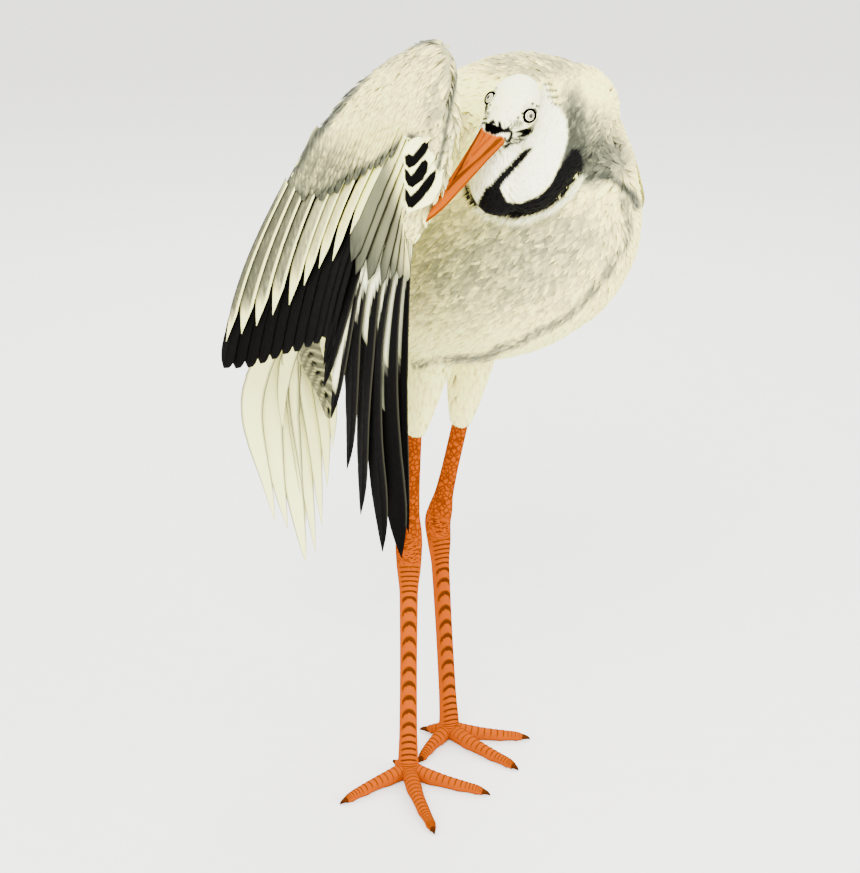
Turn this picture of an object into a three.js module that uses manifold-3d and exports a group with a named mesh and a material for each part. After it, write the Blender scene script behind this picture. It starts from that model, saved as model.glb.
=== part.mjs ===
// A white stork preening, life size: it stands on both feet with the head turned back to its right
// side, the bill at the edge of the lifted right wing, the left wing folded and the tail hanging.
// Millimetres, +Z up. The bird faces -Y and its left side is +X.
// The origin is at floor level, under the middle of the whole outline.

import * as THREE from "three";
import { mergeVertices } from "three/addons/utils/BufferGeometryUtils.js";
import Module from "manifold-3d";

const wasm = await Module();
wasm.setup();

// ---- Driving sizes ----

const GAP = 0.3;
const BODY_MIDDLE = -15;
const FINEST = 0.03;
const VANE_THICK = 0.9;
const VANE_TIP_THICK = 0.6;
const VANE_TIP_WIDTH = 0.07;
const VANE_RAGGED = 0.012;

// ---- Materials ----

const MATERIALS = {
  plumage: ["#f1edd2", 0.85],
  face: ["#f5f5e4", 0.8],
  black: ["#1b1a18", 0.6],
  bill: ["#f08a32", 0.45],
  leg: ["#ee7a24", 0.6],
  claw: ["#4a2c1c", 0.4],
  eye: ["#e9e6cf", 0.15],
};

function material(name) {
  const [color, roughness] = MATERIALS[name];
  return new THREE.MeshStandardMaterial({ color, roughness, metalness: 0 });
}

// ---- Small helpers ----

const vec = (x, y, z) => new THREE.Vector3(x, y, z);
const lerp = THREE.MathUtils.lerp;
const smoothstep = THREE.MathUtils.smoothstep;
const curveOf = (points) => new THREE.CatmullRomCurve3(points.map(([x, y, z]) => vec(x, y, z)));

function solidOf(geometry) {
  const bare = geometry.clone();
  bare.deleteAttribute("normal");
  bare.deleteAttribute("uv");
  const merged = mergeVertices(bare, 1e-4);
  return new wasm.Manifold(new wasm.Mesh({
    numProp: 3,
    vertProperties: new Float32Array(merged.attributes.position.array),
    triVerts: new Uint32Array(merged.index.array),
  }));
}

function geometryOf(solid) {
  const mesh = solid.getMesh();
  const geometry = new THREE.BufferGeometry();
  geometry.setAttribute("position", new THREE.BufferAttribute(new Float32Array(mesh.vertProperties), 3));
  geometry.setIndex(new THREE.BufferAttribute(new Uint32Array(mesh.triVerts), 1));
  geometry.computeVertexNormals();
  return geometry;
}

function joined(solids) {
  return solids.reduce((whole, solid) => whole.add(solid));
}

function largest(solid) {
  const pieces = solid.decompose();
  return pieces.reduce((best, piece) => (piece.volume() > best.volume() ? piece : best));
}

// A box for cuts, placed by its centre and turned so that its z side lies along the given normal.
function cutter(centre, size, normal = vec(0, 0, 1)) {
  const turn = new THREE.Quaternion().setFromUnitVectors(vec(0, 0, 1), normal.clone().normalize());
  const box = new THREE.BoxGeometry(size.x, size.y, size.z);
  box.applyQuaternion(turn);
  box.translate(centre.x, centre.y, centre.z);
  return solidOf(box);
}

// A closed body round a smooth line of stations [x, y, z, half width, half depth].
// The width lies along the side direction, the depth square to it and to the line.
// ridge raises scutes on the side that faces its front: every second ring is a plate's lower edge,
// and the ring after it is drawn up under that edge by lean.
function loft({ stations, side, rings, sides, grow = 0, ridge = null }) {
  const line = curveOf(stations);
  const sizes = curveOf(stations.map(([, , , width, depth]) => [width, depth, 0]));
  const body = new THREE.CylinderGeometry(1, 1, 1, sides, rings);
  const position = body.attributes.position;
  for (let i = 0; i < position.count; i += 1) {
    const ring = Math.round((0.5 - position.getY(i)) * rings);
    const scaled = ridge && ring >= ridge.first && ring <= ridge.last;
    const step = scaled && ring % 2 === 1 ? ridge.lean : 0;
    const t = (ring + step) / rings;
    const tangent = line.getTangent(t);
    const across = side.clone().addScaledVector(tangent, -side.dot(tangent)).normalize();
    const out = tangent.clone().cross(across);
    const size = sizes.getPoint(t);
    const x = position.getX(i);
    const z = position.getZ(i);
    const away = across.clone().multiplyScalar(x).addScaledVector(out, z);
    const raised = scaled && ring % 2 === 0 && away.lengthSq() > 0.1
      ? ridge.height * smoothstep(away.dot(ridge.front), -0.1, 0.5) : 0;
    const point = line.getPoint(t)
      .addScaledVector(across, x * (size.x + grow))
      .addScaledVector(out, z * (size.y + grow))
      .addScaledVector(tangent, grow * (2 * t - 1))
      .addScaledVector(away, raised);
    position.setXYZ(i, point.x, point.y, point.z);
  }
  return solidOf(body);
}

// A thin closed sheet: place(along, across, face) gives each point, with along from 0 to 1,
// across from -1 to 1 and face +1 on the outer side, -1 on the inner one.
// Both faces are split into triangles the same way, so that they never cross where the sheet bends.
function sheet(columns, rows, place) {
  const grid = new THREE.PlaneGeometry(2, 1, columns, rows);
  const flat = grid.attributes.position;
  const count = flat.count;
  const points = [];
  for (const face of [1, -1]) {
    for (let i = 0; i < count; i += 1) {
      points.push(...place(0.5 - flat.getY(i), flat.getX(i), face).toArray());
    }
  }
  const triangles = [];
  const plane = grid.index.array;
  for (let i = 0; i < plane.length; i += 3) {
    triangles.push(plane[i], plane[i + 1], plane[i + 2]);
    triangles.push(count + plane[i], count + plane[i + 2], count + plane[i + 1]);
  }
  const at = (column, row) => row * (columns + 1) + column;
  const rim = [];
  for (let column = 0; column < columns; column += 1) rim.push(at(column, rows));
  for (let row = rows; row > 0; row -= 1) rim.push(at(columns, row));
  for (let column = columns; column > 0; column -= 1) rim.push(at(column, 0));
  for (let row = 0; row < rows; row += 1) rim.push(at(0, row));
  rim.forEach((here, i) => {
    const next = rim[(i + 1) % rim.length];
    triangles.push(here, count + here, count + next, here, count + next, next);
  });
  const geometry = new THREE.BufferGeometry();
  geometry.setAttribute("position", new THREE.BufferAttribute(new Float32Array(points), 3));
  geometry.setIndex(triangles);
  return solidOf(geometry);
}

// ---- Feathers ----

// A repeatable stream of numbers from 0 to 1.
function randomStream(seed) {
  let state = seed;
  return () => {
    state = (state * 1664525 + 1013904223) % 4294967296;
    return state / 4294967296;
  };
}

const random = randomStream(7);

// A surface for feathers to lie on: place(t, s) with t across the row of roots and s from root to tip.
// bow lifts the middle of each run outwards and sweep bends it along the row.
function fan(roots, tips, bow, sweep) {
  return (t, s) => {
    const from = roots.getPoint(t);
    const to = tips.getPoint(t);
    const along = to.clone().sub(from);
    const row = roots.getTangent(t).add(tips.getTangent(t));
    const out = along.clone().cross(row).normalize();
    const side = out.clone().cross(along).normalize();
    const arch = Math.sin(Math.PI * s);
    return from.lerp(to, s).addScaledVector(out, bow(t) * arch).addScaledVector(side, sweep(t) * arch);
  };
}

const STEP = 0.02;

// The point of a surface with the directions along the feathers, along their row and outwards.
function frameAt(surface, t, s) {
  const before = Math.max(0, t - STEP);
  const after = Math.min(1, t + STEP);
  const along = surface(t, s + STEP).sub(surface(t, s - STEP)).normalize();
  const row = surface(after, s).sub(surface(before, s));
  const out = along.clone().cross(row).normalize();
  return { point: surface(t, s), along, out, side: out.clone().cross(along) };
}

// One feather: a thin blade on the surface, from first to last on its run. lift and endLift hold it
// off the surface at its root and tip, tilt raises one edge (radians), camber arches it across,
// narrow is its width at the root and point the share of its length that narrows to the tip.
function feather(surface, t, sizes) {
  const { first = 0, last = 1, lift = 0, endLift = lift, width, tilt = 0, point = 0.3 } = sizes;
  const { rows = 5, columns = 2, camber = 0.03, narrow = 0.5 } = sizes;
  return sheet(columns, rows, (step, across, face) => {
    const u = 1 - (1 - step) ** 1.4;
    const { point: centre, out, side } = frameAt(surface, t, lerp(first, last, u));
    const past = Math.max(0, (u - (1 - point)) / point);
    const half = (width / 2) * lerp(narrow, 1, smoothstep(u, 0, 0.4))
      * Math.max(VANE_TIP_WIDTH, 1 - past ** 1.7);
    const arch = camber * width * (1 - across * across);
    const thickness = lerp(VANE_THICK, VANE_TIP_THICK, u);
    return centre
      .addScaledVector(side, across * half * Math.cos(tilt))
      .addScaledVector(out, across * half * Math.sin(tilt) + arch + lerp(lift, endLift, u))
      .addScaledVector(out, (face * thickness) / 2);
  });
}

// A row of feathers on one surface, from one place in the row to another.
// Any size may be a function of the place in the row.
function featherRow(surface, { count, from = 0, to = 1, ...sizes }) {
  const row = [];
  for (let i = 0; i < count; i += 1) {
    const t = lerp(from, to, i / (count - 1));
    const drawn = {};
    for (const [key, size] of Object.entries(sizes)) {
      drawn[key] = typeof size === "function" ? size(t) : size;
    }
    drawn.last = (drawn.last ?? 1) * (1 + VANE_RAGGED * (2 * random() - 1));
    row.push(feather(surface, t, drawn));
  }
  return row;
}

// ---- Torso: an egg pitched up at the breast, from the rump to the root of the neck ----

const TORSO_STATIONS = [
  [BODY_MIDDLE, 112, 414, 12, 12],
  [BODY_MIDDLE, 100, 426, 32, 34],
  [BODY_MIDDLE, 66, 454, 56, 67],
  [BODY_MIDDLE, 20, 491, 74, 95],
  [BODY_MIDDLE, -32, 528, 84, 116],
  [BODY_MIDDLE, -75, 558, 87, 126],
  [BODY_MIDDLE, -110, 584, 85, 126],
  [BODY_MIDDLE, -140, 607, 78, 118],
  [BODY_MIDDLE, -166, 625, 67, 105],
  [BODY_MIDDLE, -189, 639, 50, 82],
  [BODY_MIDDLE, -203, 646, 31, 55],
  [BODY_MIDDLE, -209, 650, 9, 18],
];
const TORSO_SIDE = vec(1, 0, 0);

function torso(grow = 0) {
  return loft({ stations: TORSO_STATIONS, side: TORSO_SIDE, rings: 16, sides: 22, grow });
}

// A point of the torso's skin: along from 0 at the rump to 1 at the neck, angle upwards from its left side.
function torsoPoint(along, angle, lift) {
  const line = curveOf(TORSO_STATIONS);
  const size = curveOf(TORSO_STATIONS.map(([, , , width, depth]) => [width, depth, 0])).getPoint(along);
  const up = TORSO_SIDE.clone().cross(line.getTangent(along)).negate();
  return line.getPoint(along)
    .addScaledVector(TORSO_SIDE, Math.cos(angle) * (size.x + lift))
    .addScaledVector(up.z > 0 ? up : up.negate(), Math.sin(angle) * (size.y + lift));
}

// ---- Neck: leaves the breast to the right, drops into a bend and rises behind the head ----

const NECK_PLANE = vec(-0.79, -0.61, 0);
const NECK_LOWER_STATIONS = [
  [8, -132, 638, 38, 40],
  [-4, -156, 662, 40, 40],
  [-26, -176, 672, 36, 36],
  [-52, -185, 663, 30, 31],
  [-74, -188, 647, 26, 27],
  [-92, -185, 630, 25, 26],
  [-104, -180, 618, 24, 24],
  [-112, -176, 609, 16, 16],
  [-117, -173, 604, 4, 4],
];
const NECK_UPPER_STATIONS = [
  [-114, -168, 597, 4, 4],
  [-115, -167, 602, 17, 17],
  [-115, -164, 613, 24, 25],
  [-110, -158, 630, 25, 25],
  [-98, -150, 648, 23, 23],
  [-83, -147, 663, 22, 22],
  [-71, -150, 676, 21, 21],
];

function neckLower() {
  return loft({ stations: NECK_LOWER_STATIONS, side: NECK_PLANE, rings: 11, sides: 12 });
}

function neckUpper(grow = 0) {
  return loft({ stations: NECK_UPPER_STATIONS, side: NECK_PLANE, rings: 11, sides: 12, grow });
}

// ---- Head and bill, in the head's own directions ----

const HEAD_AT = vec(-100, -161, 682);
const HEAD_FORWARD = vec(-0.922, -0.187, -0.338).normalize();
const HEAD_LEFT = vec(0.305, -0.891, -0.337).normalize();
const HEAD_UP = HEAD_LEFT.clone().cross(HEAD_FORWARD).negate().normalize();
const BILL_BASE = 34;
const BILL_LENGTH = 125;
const MOUTH_DROP = -7;

function headPoint(forward, left, up) {
  return HEAD_AT.clone()
    .addScaledVector(HEAD_FORWARD, forward)
    .addScaledVector(HEAD_LEFT, left)
    .addScaledVector(HEAD_UP, up);
}

function headStations(rows) {
  return rows.map(([forward, up, width, depth]) => [...headPoint(forward, 0, up).toArray(), width, depth]);
}

function head(grow = 0) {
  const stations = headStations([
    [-38, -3, 5, 5],
    [-34, -2, 13, 14],
    [-22, 0, 19, 21],
    [-6, 1, 21, 23],
    [8, -1, 19, 20],
    [20, -4, 15.5, 16.5],
    [BILL_BASE, -6.5, 12, 12.4],
  ]);
  return loft({ stations, side: HEAD_LEFT, rings: 10, sides: 14, grow });
}

const EYE_RADIUS = 6;
const EYE_OUT = 15.6;
const LID_RADIUS = 5.9;

function eye(left, grow = 0) {
  const ball = new THREE.SphereGeometry(EYE_RADIUS + grow, 12, 8);
  const centre = headPoint(0, left * EYE_OUT, 2);
  ball.translate(centre.x, centre.y, centre.z);
  return solidOf(ball);
}

// The ring of both lids, round the eye on the skin of the face.
function lids(left) {
  const ring = new THREE.TorusGeometry(LID_RADIUS, 1.3, 5, 11);
  ring.scale(0.9, 1.12, 1);
  ring.applyMatrix4(new THREE.Matrix4().makeBasis(HEAD_UP, HEAD_FORWARD, HEAD_LEFT));
  const centre = headPoint(0, left * (EYE_OUT + 3.6), 2);
  ring.translate(centre.x, centre.y, centre.z);
  return solidOf(ring);
}

// The line of the mouth on the cheek, from the bill back to below the eye.
function gape(left) {
  const stations = [
    [38, 11.6, MOUTH_DROP, 0.7],
    [28, 13.6, MOUTH_DROP - 0.3, 0.8],
    [20, 15.3, MOUTH_DROP - 0.8, 0.8],
    [12, 17.3, MOUTH_DROP - 1.8, 0.7],
    [6, 18, MOUTH_DROP - 3.2, 0.4],
  ].map(([forward, out, up, half]) => [...headPoint(forward, left * out, up).toArray(), half, half]);
  return loft({ stations, side: HEAD_UP, rings: 4, sides: 5 });
}

const NOSTRIL_AT = BILL_BASE + 17;

function nostril(left) {
  const stations = [
    [NOSTRIL_AT + 5, 8.8, -1.4, 0.4],
    [NOSTRIL_AT, 9.3, -1, 0.9],
    [NOSTRIL_AT - 5, 9.8, -0.6, 0.4],
  ].map(([forward, out, up, half]) => [...headPoint(forward, left * out, up).toArray(), half, half]);
  return loft({ stations, side: HEAD_UP, rings: 4, sides: 6 });
}

function bill(grow = 0) {
  const end = BILL_BASE + BILL_LENGTH;
  const stations = headStations([
    [BILL_BASE + GAP, -6.5, 11.4, 11.8],
    [BILL_BASE + 20, -7, 9.6, 10.4],
    [BILL_BASE + 60, -8, 7, 8.4],
    [BILL_BASE + 100, -8, 4.6, 5.6],
    [end - 8, -8, 2.2, 2.8],
    [end, -8, 0.8, 0.9],
  ]);
  return loft({ stations, side: HEAD_LEFT, rings: 12, sides: 12, grow });
}

// ---- Legs ----

const LEGS = {
  right: {
    hip: [-42, -36, 474],
    thighEnd: [-53, -22, 352],
    hock: [-59, -21, 245],
    foot: [-60, -20],
    toes: {
      outer: { reach: [-144, -4], width: 6.4 },
      middle: { reach: [-133, -109], width: 6.8 },
      inner: { reach: [-42, -106], width: 6.4 },
      hind: { reach: [-47, 10], width: 5.2 },
    },
  },
  left: {
    hip: [23, -40, 470],
    thighEnd: [32, -11, 336],
    hock: [24, 9, 236],
    foot: [31, 0],
    toes: {
      outer: { reach: [75, -69], width: 6.4 },
      middle: { reach: [15, -98], width: 6.8 },
      inner: { reach: [-36, -12], width: 6.2 },
      hind: { reach: [23, 31], width: 5.2 },
    },
  },
};
const FOOT_HEIGHT = 20;
const CLAW_LENGTH = 11;
const TOE_FLAT = 0.8;

function thigh(leg) {
  const [hipX, hipY, hipZ] = leg.hip;
  const [endX, endY, endZ] = leg.thighEnd;
  return loft({
    stations: [
      [hipX, hipY, hipZ, 27, 31],
      [lerp(hipX, endX, 0.4), lerp(hipY, endY, 0.4), lerp(hipZ, endZ, 0.4), 22, 25],
      [lerp(hipX, endX, 0.8), lerp(hipY, endY, 0.8), lerp(hipZ, endZ, 0.8), 15, 16],
      [endX, endY, endZ, 9.5, 10],
    ],
    side: vec(1, 0, 0),
    rings: 8,
    sides: 14,
  });
}

function shank(leg) {
  const [topX, topY, topZ] = leg.thighEnd;
  const [hockX, hockY, hockZ] = leg.hock;
  const at = (t) => [lerp(topX, hockX, t), lerp(topY, hockY, t), lerp(topZ, hockZ, t)];
  return loft({
    stations: [
      [...at(0), 7.6, 8.2],
      [...at(0.35), 7.5, 8],
      [...at(0.7), 8.4, 9],
      [...at(0.88), 11.2, 12.4],
      [...at(1), 12.8, 13.2],
    ],
    side: vec(1, 0, 0),
    rings: 10,
    sides: 12,
  });
}

const SCUTE_HEIGHT = 0.7;
const TARSUS_SCUTES = 17;

function tarsus(leg) {
  const [hockX, hockY, hockZ] = leg.hock;
  const [footX, footY] = leg.foot;
  const at = (t) => [lerp(hockX, footX, t), lerp(hockY, footY, t), lerp(hockZ, FOOT_HEIGHT, t)];
  const rings = 2 * TARSUS_SCUTES;
  const front = vec(0, -1, 0);
  return loft({
    stations: [
      [...at(0), 12.8, 13.2],
      [...at(0.1), 11.2, 12],
      [...at(0.22), 8.4, 9.2],
      [...at(0.55), 7.8, 8.5],
      [...at(0.86), 8.2, 8.9],
      [...at(1), 9.8, 10.2],
    ],
    side: vec(1, 0, 0),
    rings,
    sides: 10,
    ridge: { lean: -0.55, height: SCUTE_HEIGHT, front, first: 4, last: rings - 1 },
  });
}

function toe(foot, reach, width) {
  const start = vec(foot[0], foot[1], 0);
  const end = vec(reach[0], reach[1], 0);
  const along = end.clone().sub(start);
  const length = along.length();
  const forward = along.clone().normalize();
  const bend = forward.clone().cross(vec(0, 0, 1));
  const stop = 1 - CLAW_LENGTH / length;
  const rings = 2 * Math.round(length / 17);
  const station = (t, w, h) => {
    const point = start.clone().addScaledVector(along, t * stop);
    point.addScaledVector(bend, Math.sin(Math.PI * t) * 2);
    return [point.x, point.y, h - TOE_FLAT, w, h];
  };
  const whole = loft({
    stations: [
      station(0, width * 1.2, 9.4),
      station(0.2, width * 1.15, 8),
      station(0.5, width * 0.96, 6.5),
      station(0.8, width * 0.78, 5.4),
      station(1, width * 0.62, 4.4),
      station(1.1, width * 0.56, 4.2),
    ],
    side: bend,
    rings,
    sides: 8,
    ridge: { lean: -0.55, height: SCUTE_HEIGHT, front: vec(0, 0, 1), first: 2, last: rings - 1 },
  });
  const beyond = end.clone().addScaledVector(forward, 20 - CLAW_LENGTH);
  return whole.subtract(cutter(beyond, vec(40, 40, 40), forward));
}

function foot(leg) {
  const [x, y] = leg.foot;
  const ankle = loft({
    stations: [
      [x, y, FOOT_HEIGHT, 9.8, 10.2],
      [x, y, 13, 11, 11.5],
      [x, y, 4, 10.5, 11],
      [x, y, -2, 8.5, 8.5],
    ],
    side: vec(1, 0, 0),
    rings: 4,
    sides: 12,
  });
  const toes = Object.values(leg.toes).map(({ reach, width }) => toe(leg.foot, reach, width));
  const whole = joined([ankle, ...toes]);
  return whole.subtract(cutter(vec(x, y, -20), vec(400, 400, 40)));
}

function claw(leg, { reach, width }) {
  const start = vec(leg.foot[0], leg.foot[1], 0);
  const end = vec(reach[0], reach[1], 0);
  const along = end.clone().sub(start).normalize();
  const root = end.clone().addScaledVector(along, -CLAW_LENGTH + GAP);
  const station = (t, z, w, h) => {
    const point = root.clone().addScaledVector(along, t * CLAW_LENGTH);
    return [point.x, point.y, z, w, h];
  };
  const shape = loft({
    stations: [
      station(0, 3.9, width * 0.5, 3.4),
      station(0.4, 3.8, width * 0.4, 2.7),
      station(0.8, 2.6, width * 0.22, 1.6),
      station(1, 1.2, 0.5, 0.6),
    ],
    side: along.clone().cross(vec(0, 0, 1)),
    rings: 5,
    sides: 8,
  });
  return shape.subtract(cutter(vec(end.x, end.y, -20), vec(60, 60, 40)));
}

// ---- Right wing: lifted away from the body, the wrist high and the hand hanging ----

const FOREARM_STATIONS = [
  [-123, 62, 588, 5, 4],
  [-134, 14, 628, 20, 9],
  [-153, -46, 668, 31, 12],
  [-180, -108, 697, 38, 13],
  [-211, -162, 716, 41, 13],
  [-229, -190, 720, 33, 11],
  [-237, -204, 720, 10, 4],
];
const HAND_STATIONS = [
  [-216, -176, 730, 14, 8],
  [-224, -184, 694, 18, 9],
  [-229, -177, 655, 17, 8],
  [-229, -164, 614, 11, 6],
  [-226, -156, 590, 3, 2],
];
const SHOULDER_WEB_STATIONS = [
  [-62, -96, 622, 40, 18],
  [-92, -82, 640, 40, 13],
  [-124, -62, 658, 36, 9],
  [-156, -52, 672, 28, 7],
];
const SECONDARY_ROOTS = curveOf([
  [-126, 56, 594], [-137, 6, 628], [-157, -50, 656], [-184, -106, 676], [-210, -150, 688],
]);
const SECONDARY_TIPS = curveOf([
  [-128, 145, 402], [-134, 100, 417], [-143, 56, 437], [-156, 12, 460], [-169, -20, 480],
]);
const PRIMARY_ROOTS = curveOf([
  [-216, -156, 690], [-225, -163, 664], [-229, -163, 636], [-228, -158, 610],
]);
const PRIMARY_TIPS = curveOf([
  [-166, -12, 452], [-158, -5, 422], [-152, -6, 390], [-144, -14, 342],
  [-138, -21, 303], [-131, -33, 270], [-123, -50, 259], [-121, -60, 286],
]);
const ALULA_ROOTS = curveOf([[-232, -188, 690], [-233, -187, 675], [-232, -186, 660]]);
const ALULA_TIPS = curveOf([[-242, -164, 658], [-243, -164, 642], [-242, -162, 622]]);

function wingRight() {
  const forearm = loft({ stations: FOREARM_STATIONS, side: vec(0.1, -0.3, 1), rings: 10, sides: 12 });
  const hand = loft({ stations: HAND_STATIONS, side: vec(0.4, -0.9, 0), rings: 7, sides: 10 });
  const web = loft({ stations: SHOULDER_WEB_STATIONS, side: vec(0, -0.5, 0.85), rings: 5, sides: 12 });
  const armSurface = fan(SECONDARY_ROOTS, SECONDARY_TIPS, () => 9, (t) => -3 * (1 - t));
  const handSurface = fan(PRIMARY_ROOTS, PRIMARY_TIPS, () => 6, () => 0);
  const alulaSurface = fan(ALULA_ROOTS, ALULA_TIPS, () => 2, () => 0);
  return joined([
    forearm,
    hand,
    web,
    ...featherRow(armSurface, { count: 11, width: 36, tilt: 0.13, point: 0.2, rows: 4, columns: 1 }),
    ...featherRow(armSurface, {
      count: 11, first: 0.02, last: 0.68, lift: 6, endLift: 4.5, width: 32, tilt: 0.13, point: 0.25,
      rows: 3, columns: 1,
    }),
    ...featherRow(armSurface, {
      count: 9, first: -0.04, last: 0.27, lift: 11, endLift: 9, width: 34, tilt: 0.13, point: 0.5, rows: 3,
      columns: 1,
    }),
    ...featherRow(handSurface, { count: 9, width: 27, tilt: 0.24, point: 0.25, narrow: 0.35 }),
    ...featherRow(handSurface, {
      count: 7, first: 0.04, last: (t) => lerp(0.5, 0.28, t), lift: 6, endLift: 5, width: 22, tilt: 0.2,
      point: 0.35, rows: 3, columns: 1,
    }),
    ...featherRow(alulaSurface, { count: 3, width: 20, tilt: 0.2, point: 0.55, narrow: 0.6, rows: 3 }),
  ]);
}

// ---- Left wing: folded along the flank ----

const FOLDED_LOW = -0.5;
const FOLDED_HIGH = 0.95;
const WRIST_END = 0.74;
const RUMP_END = 0.1;

function wingLeft() {
  const middle = (FOLDED_LOW + FOLDED_HIGH) / 2;
  const station = (along, half, depth) => [...torsoPoint(along, middle, -7).toArray(), half, depth];
  const arm = loft({
    stations: [
      station(WRIST_END + 0.04, 10, 6),
      station(WRIST_END - 0.02, 40, 13),
      station(0.6, 66, 17),
      station(0.46, 70, 17),
      station(0.32, 56, 14),
      station(0.2, 32, 10),
    ],
    side: vec(-0.45, 0.5, 0.75),
    rings: 10,
    sides: 12,
  });
  const surface = (t, s) => torsoPoint(
    lerp(WRIST_END, RUMP_END, s), lerp(FOLDED_LOW, FOLDED_HIGH, t), lerp(8, 5, s),
  );
  const primarySurface = fan(
    curveOf([[57, -20, 470], [64, -10, 486], [66, 0, 500]]),
    curveOf([[53, 146, 352], [52, 138, 374], [47, 126, 404]]),
    () => 7,
    () => 0,
  );
  return joined([
    arm,
    ...featherRow(primarySurface, { count: 5, width: 24, tilt: -0.2, point: 0.4, columns: 1 }),
    ...featherRow(surface, {
      count: 8, first: 0.4, last: (t) => lerp(1, 0.9, t), lift: 1, width: 32, tilt: -0.14, point: 0.3,
      rows: 4, columns: 1,
    }),
    ...featherRow(surface, {
      count: 8, first: 0.3, last: 0.72, lift: 4.5, endLift: 4, width: 31, tilt: -0.14, point: 0.35,
      rows: 3, columns: 1,
    }),
    ...featherRow(surface, {
      count: 7, first: 0.12, last: 0.48, lift: 7, endLift: 7, width: 34, tilt: -0.14, point: 0.45,
      rows: 3, columns: 1,
    }),
  ]);
}

// ---- Tail: long white feathers hanging steeply behind the rump ----

const TAIL_LINE = curveOf([
  [BODY_MIDDLE, 100, 430], [BODY_MIDDLE, 146, 408], [-5, 170, 350], [4, 172, 262], [6, 159, 160],
]);
const TAIL_STATIONS = [
  [BODY_MIDDLE, 84, 440, 26, 20],
  [BODY_MIDDLE, 118, 424, 28, 16],
  [BODY_MIDDLE, 148, 404, 27, 10],
  [-12, 168, 376, 20, 5],
];
const TAIL_SIDE = vec(0.9, -0.43, 0);

// Each long plume: its place across the tail, how far it reaches and its width.
const PLUMES = [
  [0, 0.9, 22], [0.12, 0.93, 24], [0.26, 0.96, 26], [0.4, 0.99, 27], [0.47, 0.9, 20], [0.57, 1.01, 32],
  [0.76, 0.96, 30], [0.97, 1.08, 25],
];

function tail() {
  const stump = loft({ stations: TAIL_STATIONS, side: TORSO_SIDE, rings: 6, sides: 12 });
  const surface = (t, s) => {
    const out = 2 * t - 1;
    const spread = lerp(18, 48, smoothstep(s, 0, 0.7)) * (1 - 0.3 * smoothstep(s, 0.7, 1.1));
    const reach = s * (1 - 0.2 * out * out);
    return TAIL_LINE.getPoint(THREE.MathUtils.clamp(reach, 0, 1))
      .addScaledVector(TORSO_SIDE, -out * spread * (1 - s))
      .addScaledVector(TAIL_SIDE, -out * spread * s);
  };
  return joined([
    stump,
    ...PLUMES.map(([place, last, width], i) => feather(surface, place, {
      first: 0.05, last, width, tilt: place < 0.5 ? -0.24 : 0.24, lift: i * 0.35, point: 0.5, narrow: 0.25,
    })),
    ...featherRow(surface, {
      count: 5, from: 0.1, to: 0.9, first: 0, last: 0.36, lift: 8, endLift: 6, width: 26, tilt: 0.14,
      point: 0.5, rows: 3, columns: 1,
    }),
  ]);
}

// ---- Assembly ----

const model = new THREE.Group();

function addNode(name, solid, look) {
  const mesh = new THREE.Mesh(geometryOf(largest(solid.simplify(FINEST))), material(look));
  mesh.name = name;
  model.add(mesh);
}

const fatTorso = torso(GAP);
const fatHead = head(GAP);
const fatBill = bill(GAP * 2);
const mouthCut = cutter(headPoint(BILL_BASE + 70, 0, MOUTH_DROP), vec(220, 80, GAP), HEAD_UP);
const billParts = bill().subtract(fatHead).subtract(mouthCut).subtract(nostril(1)).subtract(nostril(-1))
 .decompose().sort((a, b) => b.volume() - a.volume());
const billUpperFirst = billParts[0].boundingBox().max[2] > billParts[1].boundingBox().max[2];

addNode("torso", torso(), "plumage");
addNode("neck_lower", neckLower().subtract(fatTorso).subtract(fatHead).subtract(neckUpper(GAP)), "face");
addNode("neck_upper", neckUpper().subtract(fatTorso).subtract(fatHead).subtract(fatBill), "face");
addNode("head", joined([head(), lids(1), lids(-1)]).subtract(eye(1, GAP)).subtract(eye(-1, GAP))
  .subtract(gape(1)).subtract(gape(-1)), "face");
addNode("eye_right", eye(-1), "eye");
addNode("eye_left", eye(1), "eye");
addNode("bill_upper", billUpperFirst ? billParts[0] : billParts[1], "bill");
addNode("bill_lower", billUpperFirst ? billParts[1] : billParts[0], "bill");
addNode("wing_right", wingRight().subtract(fatTorso).subtract(fatBill), "plumage");
addNode("wing_left", wingLeft().subtract(fatTorso), "plumage");
addNode("tail", tail().subtract(fatTorso), "plumage");
for (const [name, leg] of Object.entries(LEGS)) {
  const [endX, endY, endZ] = leg.thighEnd;
  const [hockX, hockY, hockZ] = leg.hock;
  const [footX, footY] = leg.foot;
  const slot = (x, y, z) => cutter(vec(x, y, z), vec(90, 90, GAP * 2));
  addNode(`thigh_${name}`, thigh(leg).subtract(fatTorso).subtract(slot(endX, endY, endZ)), "plumage");
  addNode(`shank_${name}`, shank(leg).subtract(slot(endX, endY, endZ))
    .subtract(slot(hockX, hockY, hockZ)), "leg");
  addNode(`tarsus_${name}`, tarsus(leg).subtract(slot(hockX, hockY, hockZ))
    .subtract(slot(footX, footY, FOOT_HEIGHT)), "leg");
  addNode(`foot_${name}`, foot(leg).subtract(slot(footX, footY, FOOT_HEIGHT)), "leg");
  for (const [toeName, toeSizes] of Object.entries(leg.toes)) {
    addNode(`claw_${name}_${toeName}`, claw(leg, toeSizes), "claw");
  }
}

const box = new THREE.Box3().setFromObject(model);
model.position.set(-(box.min.x + box.max.x) / 2, -(box.min.y + box.max.y) / 2, 0);

export default model;
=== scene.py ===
"""A white stork preening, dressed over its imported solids: a feathered skin, vanes in tiers, bill, eyes and legs.

Lengths in the named sizes are millimetres in the bird's own frame: it faces -Y, its left side is +X, and Z is up.
place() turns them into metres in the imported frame.
"""

import math
from itertools import product

import bpy
import numpy as np
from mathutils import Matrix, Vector
from mathutils.bvhtree import BVHTree


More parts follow.
